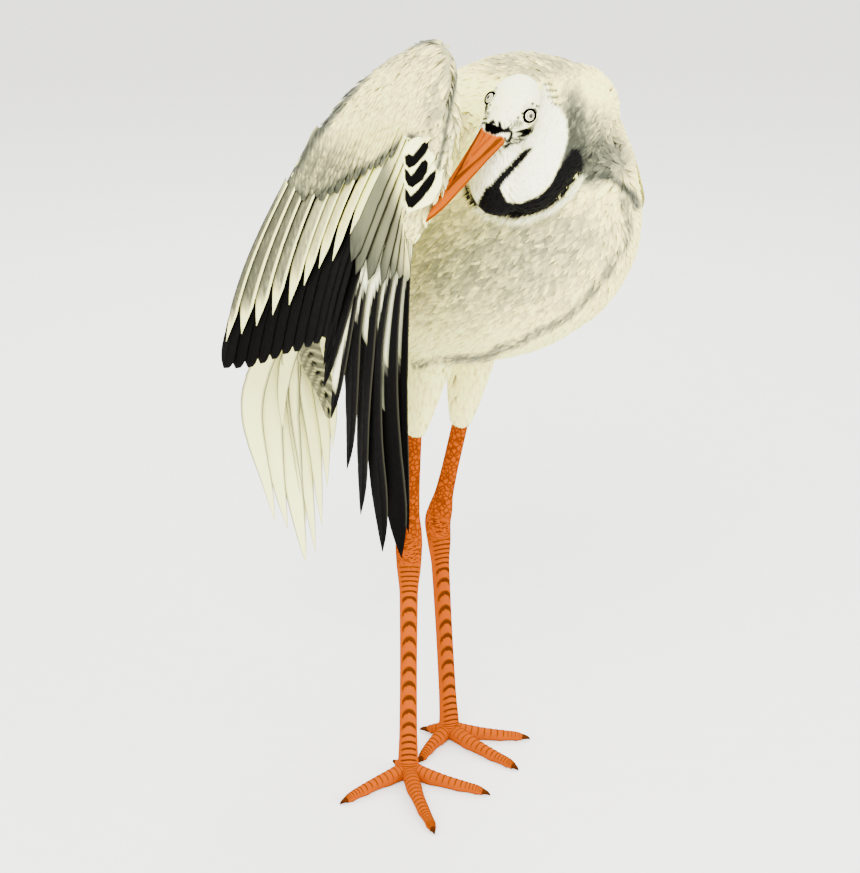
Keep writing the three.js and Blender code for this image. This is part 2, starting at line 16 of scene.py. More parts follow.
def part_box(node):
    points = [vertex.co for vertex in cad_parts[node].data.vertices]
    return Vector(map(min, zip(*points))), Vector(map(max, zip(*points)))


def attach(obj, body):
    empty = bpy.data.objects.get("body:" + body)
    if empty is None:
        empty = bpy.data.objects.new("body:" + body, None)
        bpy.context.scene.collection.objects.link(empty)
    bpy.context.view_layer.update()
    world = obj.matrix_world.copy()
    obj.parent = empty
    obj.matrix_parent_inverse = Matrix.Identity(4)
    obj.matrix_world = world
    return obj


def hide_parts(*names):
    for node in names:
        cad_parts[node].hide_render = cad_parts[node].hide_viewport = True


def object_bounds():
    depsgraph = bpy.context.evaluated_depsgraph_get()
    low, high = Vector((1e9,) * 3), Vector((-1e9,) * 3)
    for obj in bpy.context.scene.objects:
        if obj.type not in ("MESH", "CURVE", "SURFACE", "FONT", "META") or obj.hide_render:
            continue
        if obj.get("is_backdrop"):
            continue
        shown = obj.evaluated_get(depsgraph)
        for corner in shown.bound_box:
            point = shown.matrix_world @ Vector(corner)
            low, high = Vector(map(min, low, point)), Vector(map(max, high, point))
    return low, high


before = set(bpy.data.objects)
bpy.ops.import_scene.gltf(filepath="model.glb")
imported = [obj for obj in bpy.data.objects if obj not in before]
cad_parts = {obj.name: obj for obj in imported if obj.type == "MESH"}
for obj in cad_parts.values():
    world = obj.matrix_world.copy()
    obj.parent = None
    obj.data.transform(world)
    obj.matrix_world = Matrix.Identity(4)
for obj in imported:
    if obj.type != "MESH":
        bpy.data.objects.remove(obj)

cad_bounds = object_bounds()
rng = np.random.default_rng(11)

# ---- Sizes shared with the solids ----

BODY_MIDDLE = -15
TORSO_STATIONS = [(BODY_MIDDLE, *row) for row in (
    (112, 414, 12, 12), (100, 426, 32, 34), (66, 454, 56, 67), (20, 491, 74, 95), (-32, 528, 84, 116),
    (-75, 558, 87, 126), (-110, 584, 85, 126), (-140, 607, 78, 118), (-166, 625, 67, 105), (-189, 639, 50, 82),
    (-203, 646, 31, 55), (-209, 650, 9, 18),
)]
NECK_PLANE = (-0.79, -0.61, 0)
NECK_LOWER_STATIONS = [
    (8, -132, 638, 38, 40), (-4, -156, 662, 40, 40), (-26, -176, 672, 36, 36), (-52, -185, 663, 30, 31),
    (-74, -188, 647, 26, 27), (-92, -185, 630, 25, 26), (-104, -180, 618, 24, 24), (-112, -176, 609, 16, 16),
    (-117, -173, 604, 4, 4),
]
NECK_UPPER_STATIONS = [
    (-114, -168, 597, 4, 4), (-115, -167, 602, 17, 17), (-115, -164, 613, 24, 25), (-110, -158, 630, 25, 25),
    (-98, -150, 648, 23, 23), (-83, -147, 663, 22, 22), (-71, -150, 676, 21, 21),
]
# Head and bill: how far forward and up from the head's middle, half width and half depth.
HEAD_STATIONS = [
    (-38, -3, 5, 5), (-34, -2, 13, 14), (-22, 0, 19, 21), (-6, 1, 21, 23), (8, -1, 19, 20), (20, -4, 15.5, 16.5),
    (34, -6.5, 12, 12.4),
]
BILL_BASE = 34
BILL_LENGTH = 125
BILL_STATIONS = [(BILL_BASE + ahead, *row) for ahead, *row in (
    (-3, -6.5, 11.6, 12), (20, -7, 9.6, 10.4), (60, -8, 7, 8.4), (100, -8, 4.6, 5.6),
    (BILL_LENGTH - 8, -8, 2.2, 2.8), (BILL_LENGTH, -8, 0.8, 0.9),
)]
MOUTH_DROP = -7
EYE_RADIUS = 6
EYE_OUT = 15.6
EYE_RISE = 2
# Toes: where they end and their half width.
LEGS = {
    "right": {
        "hip": (-42, -36, 474), "thigh_end": (-53, -22, 352), "hock": (-59, -21, 245), "foot": (-60, -20),
        "toes": {
            "outer": (-144, -4, 6.4), "middle": (-133, -109, 6.8), "inner": (-42, -106, 6.4), "hind": (-47, 10, 5.2),
        },
    },
    "left": {
        "hip": (23, -40, 470), "thigh_end": (32, -11, 336), "hock": (24, 9, 236), "foot": (31, 0),
        "toes": {
            "outer": (75, -69, 6.4), "middle": (15, -98, 6.8), "inner": (-36, -12, 6.2), "hind": (23, 31, 5.2),
        },
    },
}
FOOT_HEIGHT = 20
CLAW_LENGTH = 11
TOE_FLAT = 0.8

FOREARM_STATIONS = [
    (-123, 62, 588, 5, 4), (-134, 14, 628, 20, 9), (-153, -46, 668, 31, 12), (-180, -108, 697, 38, 13),
    (-211, -162, 716, 41, 13), (-229, -190, 720, 33, 11), (-237, -204, 720, 10, 4),
]
HAND_STATIONS = [
    (-216, -176, 730, 14, 8), (-224, -184, 694, 18, 9), (-229, -177, 655, 17, 8),
    (-229, -164, 614, 11, 6), (-226, -156, 590, 3, 2),
]
SHOULDER_WEB_STATIONS = [
    (-62, -96, 622, 40, 18), (-92, -82, 640, 40, 13), (-124, -62, 658, 36, 9), (-156, -52, 672, 28, 7),
]
SECONDARY_ROOTS = [(-126, 56, 594), (-137, 6, 628), (-157, -50, 656), (-184, -106, 676), (-210, -150, 688)]
SECONDARY_TIPS = [(-128, 145, 402), (-134, 100, 417), (-143, 56, 437), (-156, 12, 460), (-169, -20, 480)]
PRIMARY_ROOTS = [(-216, -156, 690), (-225, -163, 664), (-229, -163, 636), (-228, -158, 610)]
PRIMARY_TIPS = [
    (-166, -12, 452), (-158, -5, 422), (-152, -6, 390), (-144, -14, 342),
    (-138, -21, 303), (-131, -33, 270), (-123, -50, 259), (-121, -60, 286),
]
FOLDED_LOW = -0.5
FOLDED_HIGH = 0.95
WRIST_END = 0.74
RUMP_END = 0.1
TAIL_LINE = [(BODY_MIDDLE, 100, 430), (BODY_MIDDLE, 146, 408), (-5, 170, 350), (4, 172, 262), (6, 159, 160)]
TAIL_SIDE = (0.9, -0.43, 0)

HEAD_AT = np.array((-100.0, -161.0, 682.0))


def unit(v):
    v = np.asarray(v, float)
    return v / np.maximum(np.linalg.norm(v, axis=-1, keepdims=True), 1e-9)


HEAD_FORWARD = unit((-0.922, -0.187, -0.338))
HEAD_LEFT = unit((0.305, -0.891, -0.337))
HEAD_UP = unit(np.cross(HEAD_FORWARD, HEAD_LEFT))


def head_point(forward, left, up):
    return HEAD_AT + forward * HEAD_FORWARD + left * HEAD_LEFT + up * HEAD_UP


def eye_centre(sign):
    return head_point(0, sign * EYE_OUT, EYE_RISE)


# The solids' group is shifted as a whole, so one known point gives the shift.
eye_low, eye_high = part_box("eye_right")
SHIFT = np.array((eye_low + eye_high) / 2) * 1000 - eye_centre(-1)
SHIFT[2] = 0


def place(points):
    return (np.asarray(points, float) + SHIFT) * 0.001


# ---- Camera: the photograph's viewing angle ----

VIEW_AWAY = np.array((0.788, 0.6157))
VIEW_RIGHT = np.array((0.6157, -0.788, 0))
VIEW_DISTANCE = 2007
VIEW_HEIGHT = 1062
VIEW_PITCH = math.radians(20)
VIEW_AHEAD = np.array((*(VIEW_AWAY * math.cos(VIEW_PITCH)), -math.sin(VIEW_PITCH)))
VIEW_UP = np.cross(VIEW_RIGHT, VIEW_AHEAD)
CAMERA_AT = np.array((*(-VIEW_DISTANCE * VIEW_AWAY), VIEW_HEIGHT))
PICTURE_LONG_SIDE = 873
PICTURE_MIDDLE = (430, 436.5)
FOCAL_PIXELS = 2250

camera_data = bpy.data.cameras.new("camera")
camera_data.sensor_width = 36
camera_data.lens = camera_data.sensor_width * FOCAL_PIXELS / PICTURE_LONG_SIDE
camera_data.clip_end = 50
camera = bpy.data.objects.new("camera", camera_data)
camera.location = place(CAMERA_AT)
camera.rotation_euler = Vector(VIEW_AHEAD).to_track_quat("-Z", "Y").to_euler()
bpy.context.scene.collection.objects.link(camera)
bpy.context.scene.camera = camera


def seen_at(points):
    """Where the camera sees points of the bird's frame, in the photograph's pixels."""
    away = np.asarray(points, float) - CAMERA_AT
    depth = away @ VIEW_AHEAD
    x = PICTURE_MIDDLE[0] + FOCAL_PIXELS * (away @ VIEW_RIGHT) / depth
    y = PICTURE_MIDDLE[1] - FOCAL_PIXELS * (away @ VIEW_UP) / depth
    return np.stack([x, y], -1)


def at_pixel(pixel, near):
    """The point that the camera sees at a pixel of the photograph, as far away as a given point."""
    x, y = (np.asarray(pixel, float) - PICTURE_MIDDLE) / FOCAL_PIXELS
    depth = (near - CAMERA_AT) @ VIEW_AHEAD
    return CAMERA_AT + depth * (VIEW_AHEAD + x * VIEW_RIGHT - y * VIEW_UP)


# ---- Curves, lofts and surfaces ----

def mix(a, b, t):
    return a + (b - a) * t


def smooth(value, low, high):
    t = np.clip((np.asarray(value, float) - low) / (high - low), 0, 1)
    return t * t * (3 - 2 * t)


def angles(count):
    """Angles once round, as many as given."""
    return np.linspace(0, 2 * math.pi, count, endpoint=False)


def curve(points):
    """A smooth centripetal line through points: at(t) for t from 0 to 1."""
    p = np.asarray(points, float)
    count = len(p)
    padded = np.vstack([2 * p[0] - p[1], p, 2 * p[-1] - p[-2]])

    def at(t):
        spot_at = np.clip(np.asarray(t, float), 0, 1) * (count - 1)
        i = np.minimum(spot_at.astype(int), count - 2)
        w = (spot_at - i)[..., None]
        p0, p1, p2, p3 = (padded[i + k] for k in range(4))
        gaps = (np.sum((b - a) ** 2, -1, keepdims=True) ** 0.25 for a, b in ((p0, p1), (p1, p2), (p2, p3)))
        d0, d1, d2 = gaps
        d1 = np.where(d1 < 1e-4, 1, d1)
        d0 = np.where(d0 < 1e-4, d1, d0)
        d2 = np.where(d2 < 1e-4, d1, d2)
        t1 = ((p1 - p0) / d0 - (p2 - p0) / (d0 + d1) + (p2 - p1) / d1) * d1
        t2 = ((p2 - p1) / d1 - (p3 - p1) / (d1 + d2) + (p3 - p2) / d2) * d1
        return p1 + t1 * w + (-3 * p1 + 3 * p2 - 2 * t1 - t2) * w**2 + (2 * p1 - 2 * p2 + t1 + t2) * w**3

    return at


def tangent(at, t):
    t = np.asarray(t, float)
    return unit(at(np.clip(t + 1e-4, 0, 1)) - at(np.clip(t - 1e-4, 0, 1)))


def station_curves(stations):
    """The middle line and the half sizes of stations (x, y, z, half width, half depth)."""
    stations = np.asarray(stations, float)
    return curve(stations[:, :3]), curve(stations[:, 3:5])


def square_to(along, side):
    """The directions across and out of a line, with the first one toward a side."""
    side = np.asarray(side, float)
    across = unit(side - along * (along @ side)[:, None])
    return across, np.cross(along, across)


def loft(stations, side, rings, sides, grow=0.0, swell=None):
    """Rings of points round a smooth line of stations, of shape (rings, sides, 3), and each ring's t.

    swell(t, angle) adds to the radius.
    """
    line, sizes = station_curves(stations)
    t = np.linspace(0, 1, rings)
    angle = angles(sides)
    along = tangent(line, t)
    across, out = square_to(along, side)
    size = sizes(t)
    extra = grow if swell is None else grow + swell(t[:, None], angle[None, :])
    x = np.sin(angle)[None, :] * (size[:, :1] + extra)
    z = np.cos(angle)[None, :] * (size[:, 1:2] + extra)
    points = line(t)[:, None] + x[..., None] * across[:, None] + z[..., None] * out[:, None]
    return points + (along * (grow * (2 * t - 1))[:, None])[:, None], t


def ring_faces(rings, sides):
    r, s = np.meshgrid(np.arange(rings - 1), np.arange(sides), indexing="ij")
    n = (s + 1) % sides
    faces = np.stack([r * sides + s, r * sides + n, (r + 1) * sides + n, (r + 1) * sides + s], -1)
    return faces.reshape(-1, 4)


def round_map(across, t):
    """A map of a loft: places round it by places along it."""
    return np.stack(np.broadcast_arrays(across[None, :], t[:, None]), -1)


def fan(roots, tips, bow, sweep=(0.0, 0.0)):
    """A surface for feathers: at(t across the row, s from root to tip). sweep is for the row's two ends."""
    root_at, tip_at = curve(roots), curve(tips)

    def at(t, s):
        start, end = root_at(t), tip_at(t)
        along = end - start
        out = unit(np.cross(along, tangent(root_at, t) + tangent(tip_at, t)))
        side = unit(np.cross(out, along))
        arch = np.sin(math.pi * s)[..., None]
        swept = mix(*sweep, np.asarray(t, float))[..., None]
        return start + along * s[..., None] + out * bow * arch + side * swept * arch

    return at


def frames(surface, t, s):
    """Points of a surface with their side and outward directions."""
    step = 0.02
    along = unit(surface(t, s + step) - surface(t, s - step))
    row = surface(np.minimum(t + step, 1), s) - surface(np.maximum(t - step, 0), s)
    out = unit(np.cross(along, row))
    return surface(t, s), np.cross(out, along), out


# ---- Meshes ----

CELLS = 24


class Pile:
    """Gathers parts of one mesh, with a vane map, a bake map and a tint for each vertex."""

    def __init__(self):
        self.verts, self.quads, self.tris, self.vane, self.bake, self.tint = [], [], [], [], [], []
        self.count = 0
        self.cells_used = 0

    def cells(self, number):
        """A bake map with a cell of its own for each of the next large feathers."""
        first = self.cells_used
        self.cells_used += number

        def bake(index, along, across):
            row, column = np.divmod(index + first, CELLS)
            return np.stack([column + 0.5 + 0.42 * across, row + 0.04 + 0.92 * along], -1) / CELLS

        return bake

    def add(self, verts, quads, vane=(0, 0), bake=(0, 0), tint=(1, 1, 1), tris=()):
        """Adds vertices and faces. Each map, and the tint, is one value or a value for each vertex."""
        verts = np.asarray(verts, float).reshape(-1, 3)
        self.verts.append(verts)
        self.quads.append(quads.reshape(-1, 4) + self.count)
        self.tris.append(np.asarray(tris, int).reshape(-1, 3) + self.count)
        for values, given in ((self.vane, vane), (self.bake, bake), (self.tint, tint)):
            given = np.asarray(given, float)
            given = given.reshape(-1, given.shape[-1])
            values.append(np.broadcast_to(given, (len(verts), given.shape[1])))
        self.count += len(verts)

    def add_tube(self, points, vane=(0, 0), bake=(0, 0), tint=(1, 1, 1)):
        """Adds a loft as a closed mesh, with a middle point for each end."""
        rings, sides = points.shape[:2]
        verts, *values = (
            v if np.ndim(v) == 1 else np.vstack([v.reshape(-1, v.shape[-1]), v[0].mean(0), v[-1].mean(0)])
            for v in (points, vane, bake, tint)
        )
        s = np.arange(sides)
        n = (s + 1) % sides
        start = rings * sides
        last = start - sides
        ends = [np.column_stack([n, s, np.full(sides, start)]),
                np.column_stack([last + s, last + n, np.full(sides, start + 1)])]
        self.add(verts, ring_faces(rings, sides), *values, tris=np.vstack(ends))

    def mesh(self, name):
        verts, quads, tris = place(np.vstack(self.verts)), np.vstack(self.quads), np.vstack(self.tris)
        corners = np.concatenate([quads.ravel(), tris.ravel()]).astype(np.int32)
        starts = np.concatenate([np.arange(len(quads)) * 4, len(quads) * 4 + np.arange(len(tris)) * 3])
        mesh = bpy.data.meshes.new(name)
        mesh.vertices.add(len(verts))
        mesh.vertices.foreach_set("co", verts.astype(np.float32).ravel())
        mesh.loops.add(len(corners))
        mesh.loops.foreach_set("vertex_index", corners)
        mesh.polygons.add(len(starts))
        mesh.polygons.foreach_set("loop_start", starts.astype(np.int32))
        mesh.update(calc_edges=True)
        dress(mesh, corners, np.vstack(self.vane), np.vstack(self.bake), np.vstack(self.tint))
        mesh.validate()
        return mesh

    def piece(self, name, look, slot, nodes=()):
        add_piece(name, self.mesh(name), look, nodes)


def dress(mesh, corners, vane, bake, tint):
    """Gives a mesh its two maps and its tint, and makes it smooth."""
    for layer, values in (("Vane", vane), ("OFBake", bake)):
        uv = mesh.uv_layers.new(name=layer)
        uv.data.foreach_set("uv", values[corners].astype(np.float32).ravel())
    layer = mesh.color_attributes.new("Tint", "FLOAT_COLOR", "POINT")
    layer.data.foreach_set("color", np.column_stack([pigment(tint), np.ones(len(tint))]).astype(np.float32).ravel())
    mesh.polygons.foreach_set("use_smooth", np.ones(len(mesh.polygons), bool))


def add_piece(name, mesh, look, nodes=()):
    piece = bpy.data.objects.new(name, mesh)
    bpy.context.scene.collection.objects.link(piece)
    piece.data.materials.append(look)
    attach(piece, "root")
    if nodes:
        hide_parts(*nodes)


def vanes(pile, centre, side, out, half, columns, tint, bake, thick=0.0, ridge=0.0, camber=0.0, tilt=0.0, fray=0.0):
    """Adds many feathers at once. centre, side and out are (n, rows, 3), half is (n, rows, 2) for both webs.

    columns are places across from -1 to 1. thick above 0 makes closed blades, or the vane is one face thick.
    tint and bake are functions of (feather index, along, across), and the first one also of the points.
    """
    n, rows = centre.shape[:2]
    c = np.asarray(columns, float)
    wide = np.where(c < 0, half[..., :1], half[..., 1:]) * c
    tilt = np.broadcast_to(np.asarray(tilt, float), (n,))[:, None, None]
    total = half.sum(-1, keepdims=True)
    crest = ridge * np.exp(-((c / 0.09) ** 2)) * np.minimum(1, total / 8)
    height = camber * total * (1 - c**2) + wide * np.sin(tilt) + crest
    flat = centre[:, :, None] + side[:, :, None] * (wide * np.cos(tilt))[..., None] + fray
    index, along, across = np.meshgrid(np.arange(n), np.linspace(0, 1, rows), c, indexing="ij")
    maps = [np.stack([(across + 1) / 2, along], -1), bake(index, along, across), tint(index, along, across, flat)]
    r, k = np.meshgrid(np.arange(rows - 1), np.arange(len(c) - 1), indexing="ij")
    a = r * len(c) + k
    faces = np.stack([a, a + 1, a + len(c) + 1, a + len(c)], -1).reshape(-1, 4)
    per = rows * len(c)
    if thick <= 0:
        verts = flat + out[:, :, None] * height[..., None]
    else:
        deep = thick / 2 * (1 - 0.6 * along)
        verts = np.stack([flat + out[:, :, None] * (height + sign * deep)[..., None] for sign in (1, -1)], 1)
        top = np.arange(len(c))
        right, left = np.arange(1, rows) * len(c) + len(c) - 1, np.arange(rows - 2, 0, -1) * len(c)
        rim = np.concatenate([top, right, (rows - 1) * len(c) + top[-2::-1], left])
        after = np.roll(rim, -1)
        faces = np.vstack([faces, faces[:, ::-1] + per, np.column_stack([after, rim, rim + per, after + per])])
        maps = [np.stack([values, values], 1) for values in maps]
        per *= 2
    pile.add(verts, faces[None] + (np.arange(n) * per)[:, None, None], *maps)


def row_of_vanes(pile, surface, places, rows, columns, first=0.0, last=1.0, lift=0.0, end_lift=None, width=20.0,
                 lead=0.5, narrow=0.5, point=0.3, sharp=1.7, blunt=0.5, drift=0.0, waves=0.0, ragged=0.012, notch=0.0,
                 **more):
    """One tier of feathers on a surface. places are their places in the row; other sizes may be arrays.

    drift is how far a feather's place moves across the row from its root to its tip.
    """
    places = np.asarray(places, float)
    n = len(places)
    each = lambda value: np.broadcast_to(np.asarray(value, float), (n,))[:, None]
    u = np.linspace(0, 1, rows)[None, :]
    last = each(last) * (1 + ragged * rng.uniform(-1, 1, (n, 1)))
    end_lift = lift if end_lift is None else end_lift
    t = np.clip(places[:, None] - each(drift) * (1 - smooth(u, 0.15, 0.95)), 0, 1)
    centre, side, out = frames(surface, t, mix(each(first), last, u))
    centre = centre + out * mix(each(lift), each(end_lift), u)[..., None]
    past = np.clip((u - (1 - each(point))) / each(point), 0, 1)
    taper = np.maximum(0.03, np.clip(1 - past**each(sharp), 0, 1) ** blunt)
    body = mix(each(narrow), 1, smooth(u, 0, 0.4)) * taper
    webs = np.stack([each(width) * (1 - each(lead)) * body, each(width) * each(lead) * body], -1)
    if notch:
        cut = (rng.random((n, rows, 2)) < 0.2) * rng.random((n, rows, 2)) * (u[..., None] > 0.3)
        webs = webs * (1 - notch * cut)
    if waves:
        sway = waves * np.cumsum(rng.normal(0, 1, (n, rows)), 1) / rows
        centre = centre + side * sway[..., None]
    vanes(pile, centre, side, out, webs, columns, bake=pile.cells(n), **more)


# ---- Materials ----

STUDIO = 2.8


def pigment(seen):
    """The surface colour that the studio shows as seen, 0 to 1: it compresses bright tones, and this spreads them."""
    x = np.clip(seen, 0, 0.995)
    return np.clip(0.4 * x**1.8 / (1.02 - x) / STUDIO, 0.0005, 0.93)


def tone(*values):
    return np.array(values, float) / 255


CREAM = tone(245, 240, 198)
WHITE = tone(247, 247, 220)
PALE = tone(247, 244, 200)
PLUME_CREAM = tone(249, 249, 199)
SLIT_CREAM = tone(243, 242, 214)
GREY = tone(150, 150, 122)
DARK_GREY = tone(92, 95, 80)
BLACK = tone(13, 12, 11)
ORANGE = tone(190, 113, 6)
DEEP_ORANGE = tone(168, 86, 6)
BROWN = tone(110, 58, 14)
LEG_ORANGE = tone(190, 107, 5)
LEG_BROWN = tone(116, 60, 12)
CLAW_BROWN = tone(108, 54, 16)
CLAW_TIP = tone(66, 30, 12)


class Value:
    """A node's output, for use in plain sums."""

    def __init__(self, nodes, socket):
        self.nodes, self.socket = nodes, socket

    def __add__(self, other):
        return self.nodes.math("ADD", self, other)

    def __sub__(self, other):
        return self.nodes.math("SUBTRACT", self, other)

    def __rsub__(self, other):
        return self.nodes.math("SUBTRACT", other, self)

    def __mul__(self, other):
        return self.nodes.math("MULTIPLY", self, other)


class Nodes:
    def __init__(self, name):
        self.material = bpy.data.materials.new(name)
        self.material.use_nodes = True
        self.tree = self.material.node_tree

    def put(self, socket, value):
        if isinstance(value, Value):
            self.tree.links.new(value.socket, socket)
        else:
            socket.default_value = value

    def add(self, kind, inputs=None, output=0, **settings):
        node = self.tree.nodes.new("ShaderNode" + kind)
        for key, value in settings.items():
            setattr(node, key, value)
        for key, value in (inputs or {}).items():
            self.put(node.inputs[key], value)
        return Value(self, node.outputs[output])

    def math(self, operation, *values):
        return self.add("Math", dict(enumerate(values)), operation=operation)

    def blend(self, factor, first, second):
        return self.add("Mix", {0: factor, 6: first, 7: second}, 2, data_type="RGBA")

    def here(self):
        return self.add("TexCoord", output="Object")

    def vane(self):
        return self.add("UVMap", uv_map="Vane")

    def stretched(self, vector, scale):
        return self.add("Mapping", {"Vector": vector, "Scale": scale})

    def noise(self, vector, scale, detail=2.0, roughness=0.5):
        return self.add("TexNoise", {"Vector": vector, "Scale": scale, "Detail": detail, "Roughness": roughness})

    def edges(self, scale):
        """How far a place is from the nearest seam between cells."""
        return self.add("TexVoronoi", {"Vector": self.here(), "Scale": scale}, feature="DISTANCE_TO_EDGE")

    def shaded(self, shade):
        """The tint of the mesh times a shade."""
        tint = self.add("VertexColor", layer_name="Tint")
        return self.add("VectorMath", {0: tint, "Scale": shade}, operation="SCALE")

    def finish(self, colour, roughness, bump=None, **values):
        """Sets the shader and returns the material. bump is a height, its strength and its distance."""
        values.update(Base_Color=colour, Roughness=roughness)
        if bump:
            values["Normal"] = self.add("Bump", dict(zip(("Height", "Strength", "Distance"), bump)))
        for key, value in values.items():
            self.put(self.tree.nodes["Principled BSDF"].inputs[key.replace("_", " ")], value)
        return self.material


def rgba(colour):
    return (*[float(c) for c in pigment(colour)], 1.0)


def feather_look(name, roughness, barbs, mottle, mottle_scale, sheen=0.05, shine=0.2):
    """Feather vane: its tint, fine mottling in space, barbs across the vane and a soft sheen."""
    n = Nodes(name)
    here = n.here()
    across, along = (n.add("SeparateXYZ", {0: n.vane()}, axis) for axis in (0, 1))
    slant = along * barbs - n.math("ABSOLUTE", across - 0.5) * (barbs * 0.35)
    ribs = n.math("SINE", slant + n.noise(here, 160.0) * 3.0)
    speck = n.noise(here, mottle_scale, 4.0, 0.65)
    broad = n.noise(here, mottle_scale * 0.22)
    shade = (speck - 0.5) * mottle + (broad - 0.5) * (mottle * 0.5) + 1.0 + ribs * 0.035
    return n.finish(n.shaded(shade), (speck - 0.5) * 0.25 + roughness, (ribs * 0.5 + speck, 0.35, 0.0004),
                    Sheen_Weight=sheen, Sheen_Roughness=0.5, Specular_IOR_Level=shine)


plumage_look = feather_look("plumage", 0.85, 60.0, 0.12, 260.0, shine=0.1)
face_look = feather_look("face_plumage", 0.75, 30.0, 0.05, 300.0, sheen=0.0, shine=0.06)
flight_look = feather_look("flight_feathers", 0.8, 420.0, 0.1, 180.0, sheen=0.0, shine=0.03)


def horn_look(name, roughness, scale, amount, streaks):
    """Tinted horn with streaks along the vane map's length."""
    n = Nodes(name)
    lines = n.noise(n.stretched(n.vane(), (streaks, 3.0, 1.0)), 1.0, 5.0, 0.6)
    grain = n.noise(n.here(), scale, 3.0)
    shade = (lines - 0.5) * amount + (grain - 0.5) * (amount * 0.6) + 1.0
    return n.finish(n.shaded(shade), (lines - 0.5) * 0.3 + roughness, (lines + grain * 0.4, 0.3, 0.0005),
                    Specular_IOR_Level=0.0)


bill_look = horn_look("bill_horn", 0.38, 300.0, 0.35, 26.0)
claw_look = horn_look("claw_horn", 0.35, 500.0, 0.5, 12.0)


def leg_look():
    """Scaled skin: a net of brown seams on the shank, dashes round the hock, and fine grain below them."""
    n = Nodes("leg_skin")
    here = n.here()
    down_leg = n.add("SeparateXYZ", {0: n.vane()}, 1)

    def between(low, high, soft=0.03):
        rise = n.add("MapRange", {0: down_leg, 1: low - soft, 2: low + soft})
        return rise * n.add("MapRange", {0: down_leg, 1: high - soft, 2: high + soft, 3: 1.0, 4: 0.0})

    net = 1.0 - n.math("MINIMUM", n.edges(215.0) * 4.6, 1.0)
    dashes = n.noise(n.stretched(here, (260.0, 260.0, 800.0)), 1.0, 1.0)
    dashes = n.add("MapRange", {0: dashes, 1: 0.52, 2: 0.57})
    seam = n.math("MINIMUM", n.edges(620.0) * 7.0, 1.0)
    grain = n.noise(here, 220.0, 4.0)
    marks = net * between(-1.0, 0.355) + dashes * between(0.36, 0.48)
    shade = (seam * 0.08 + grain * 0.12 + 0.86) * (1.0 - marks * 0.66)
    height = seam * 0.4 + grain * 0.4 - marks
    return n.finish(n.shaded(shade), grain * 0.25 + 0.42, (height, 0.5, 0.0005), Specular_IOR_Level=0.0)


leg_skin_look = leg_look()


def eye_look():
    """Glossy ball: pupil, pale iris with fine rays and a dark rim, by the distance from the ball's axis."""
    n = Nodes("eye")
    rings = n.add("ValToRGB", {0: n.add("SeparateXYZ", {0: n.vane()}, 1)})
    ramp = rings.socket.node.color_ramp
    stops = [
        (0.0, tone(14, 13, 12)), (0.1, tone(14, 13, 12)), (0.115, tone(214, 210, 186)),
        (0.15, tone(232, 230, 208)),
        (0.163, tone(52, 50, 42)), (0.185, tone(52, 50, 42)), (0.2, tone(234, 232, 212)),
        (0.3, tone(238, 237, 220)),
        (0.325, tone(24, 22, 19)), (1.0, tone(20, 18, 16)),
    ]
    while len(ramp.elements) < len(stops):
        ramp.elements.new(0.5)
    for element, (position, colour) in zip(ramp.elements, stops):
        element.position = position
        element.color = rgba(colour)
    rays = n.noise(n.stretched(n.vane(), (60.0, 2.0, 1.0)), 1.0, 3.0)
    return n.finish(n.blend(rays * 0.25, rings, rgba(tone(120, 110, 84))), rays * 0.2, (rays, 0.08, 0.0002),
                    Coat_Weight=0.25, Coat_Roughness=0.02, Specular_IOR_Level=0.2)


ball_look = eye_look()


# ---- Skin: one body under all the small feathers ----

def head_stations(rows):
    return [(*head_point(forward, 0, up), width, depth) for forward, up, width, depth in rows]


def thigh_stations(leg):
    hip, end = np.array(leg["hip"], float), np.array(leg["thigh_end"], float)
    return [(*mix(hip, end, t), w, d) for t, w, d in ((0, 27, 31), (0.4, 22, 25), (0.8, 15, 16), (1, 9.5, 10))]


# Each part: its stations, its side, how far the skin lies inside its solid, whether its feathers run along the
# stations (1) or back (-1), their length and spacing, and its chart in the bake map: left, bottom, width, height.
BODY_PARTS = {
    "torso": (TORSO_STATIONS, (1, 0, 0), 4.5, -1, 25, 3.5, (0.01, 0.01, 0.58, 0.98)),
    "neck_lower": (NECK_LOWER_STATIONS, NECK_PLANE, 3.5, -1, 14, 2.3, (0.61, 0.01, 0.18, 0.3)),
    "neck_upper": (NECK_UPPER_STATIONS, NECK_PLANE, 3.5, -1, 11, 2.1, (0.8, 0.01, 0.18, 0.3)),
    "head": (head_stations(HEAD_STATIONS), HEAD_LEFT, 2.2, -1, 5, 1.5, (0.61, 0.33, 0.18, 0.3)),
    "thigh_right": (thigh_stations(LEGS["right"]), (1, 0, 0), 2.5, 1, 17, 3.6, (0.8, 0.33, 0.09, 0.3)),
    "thigh_left": (thigh_stations(LEGS["left"]), (1, 0, 0), 2.5, 1, 17, 3.6, (0.9, 0.33, 0.09, 0.3)),
    "forearm": (FOREARM_STATIONS, (0.1, -0.3, 1), 3.0, 1, 13, 3.2, (0.61, 0.65, 0.18, 0.33)),
    "hand": (HAND_STATIONS, (0.4, -0.9, 0), 2.5, 1, 10, 3.0, (0.8, 0.65, 0.09, 0.33)),
    "web": (SHOULDER_WEB_STATIONS, (0, -0.5, 0.85), 3.0, 1, 15, 4.0, (0.9, 0.65, 0.09, 0.33)),
}
PART_NAMES = np.array(list(BODY_PARTS))
ARM_PARTS = ("forearm", "hand", "web")
PART_LIE, PART_LENGTH, PART_SPACING = np.array([row[3:6] for row in BODY_PARTS.values()], float).T
PART_CHART = np.array([row[6] for row in BODY_PARTS.values()])


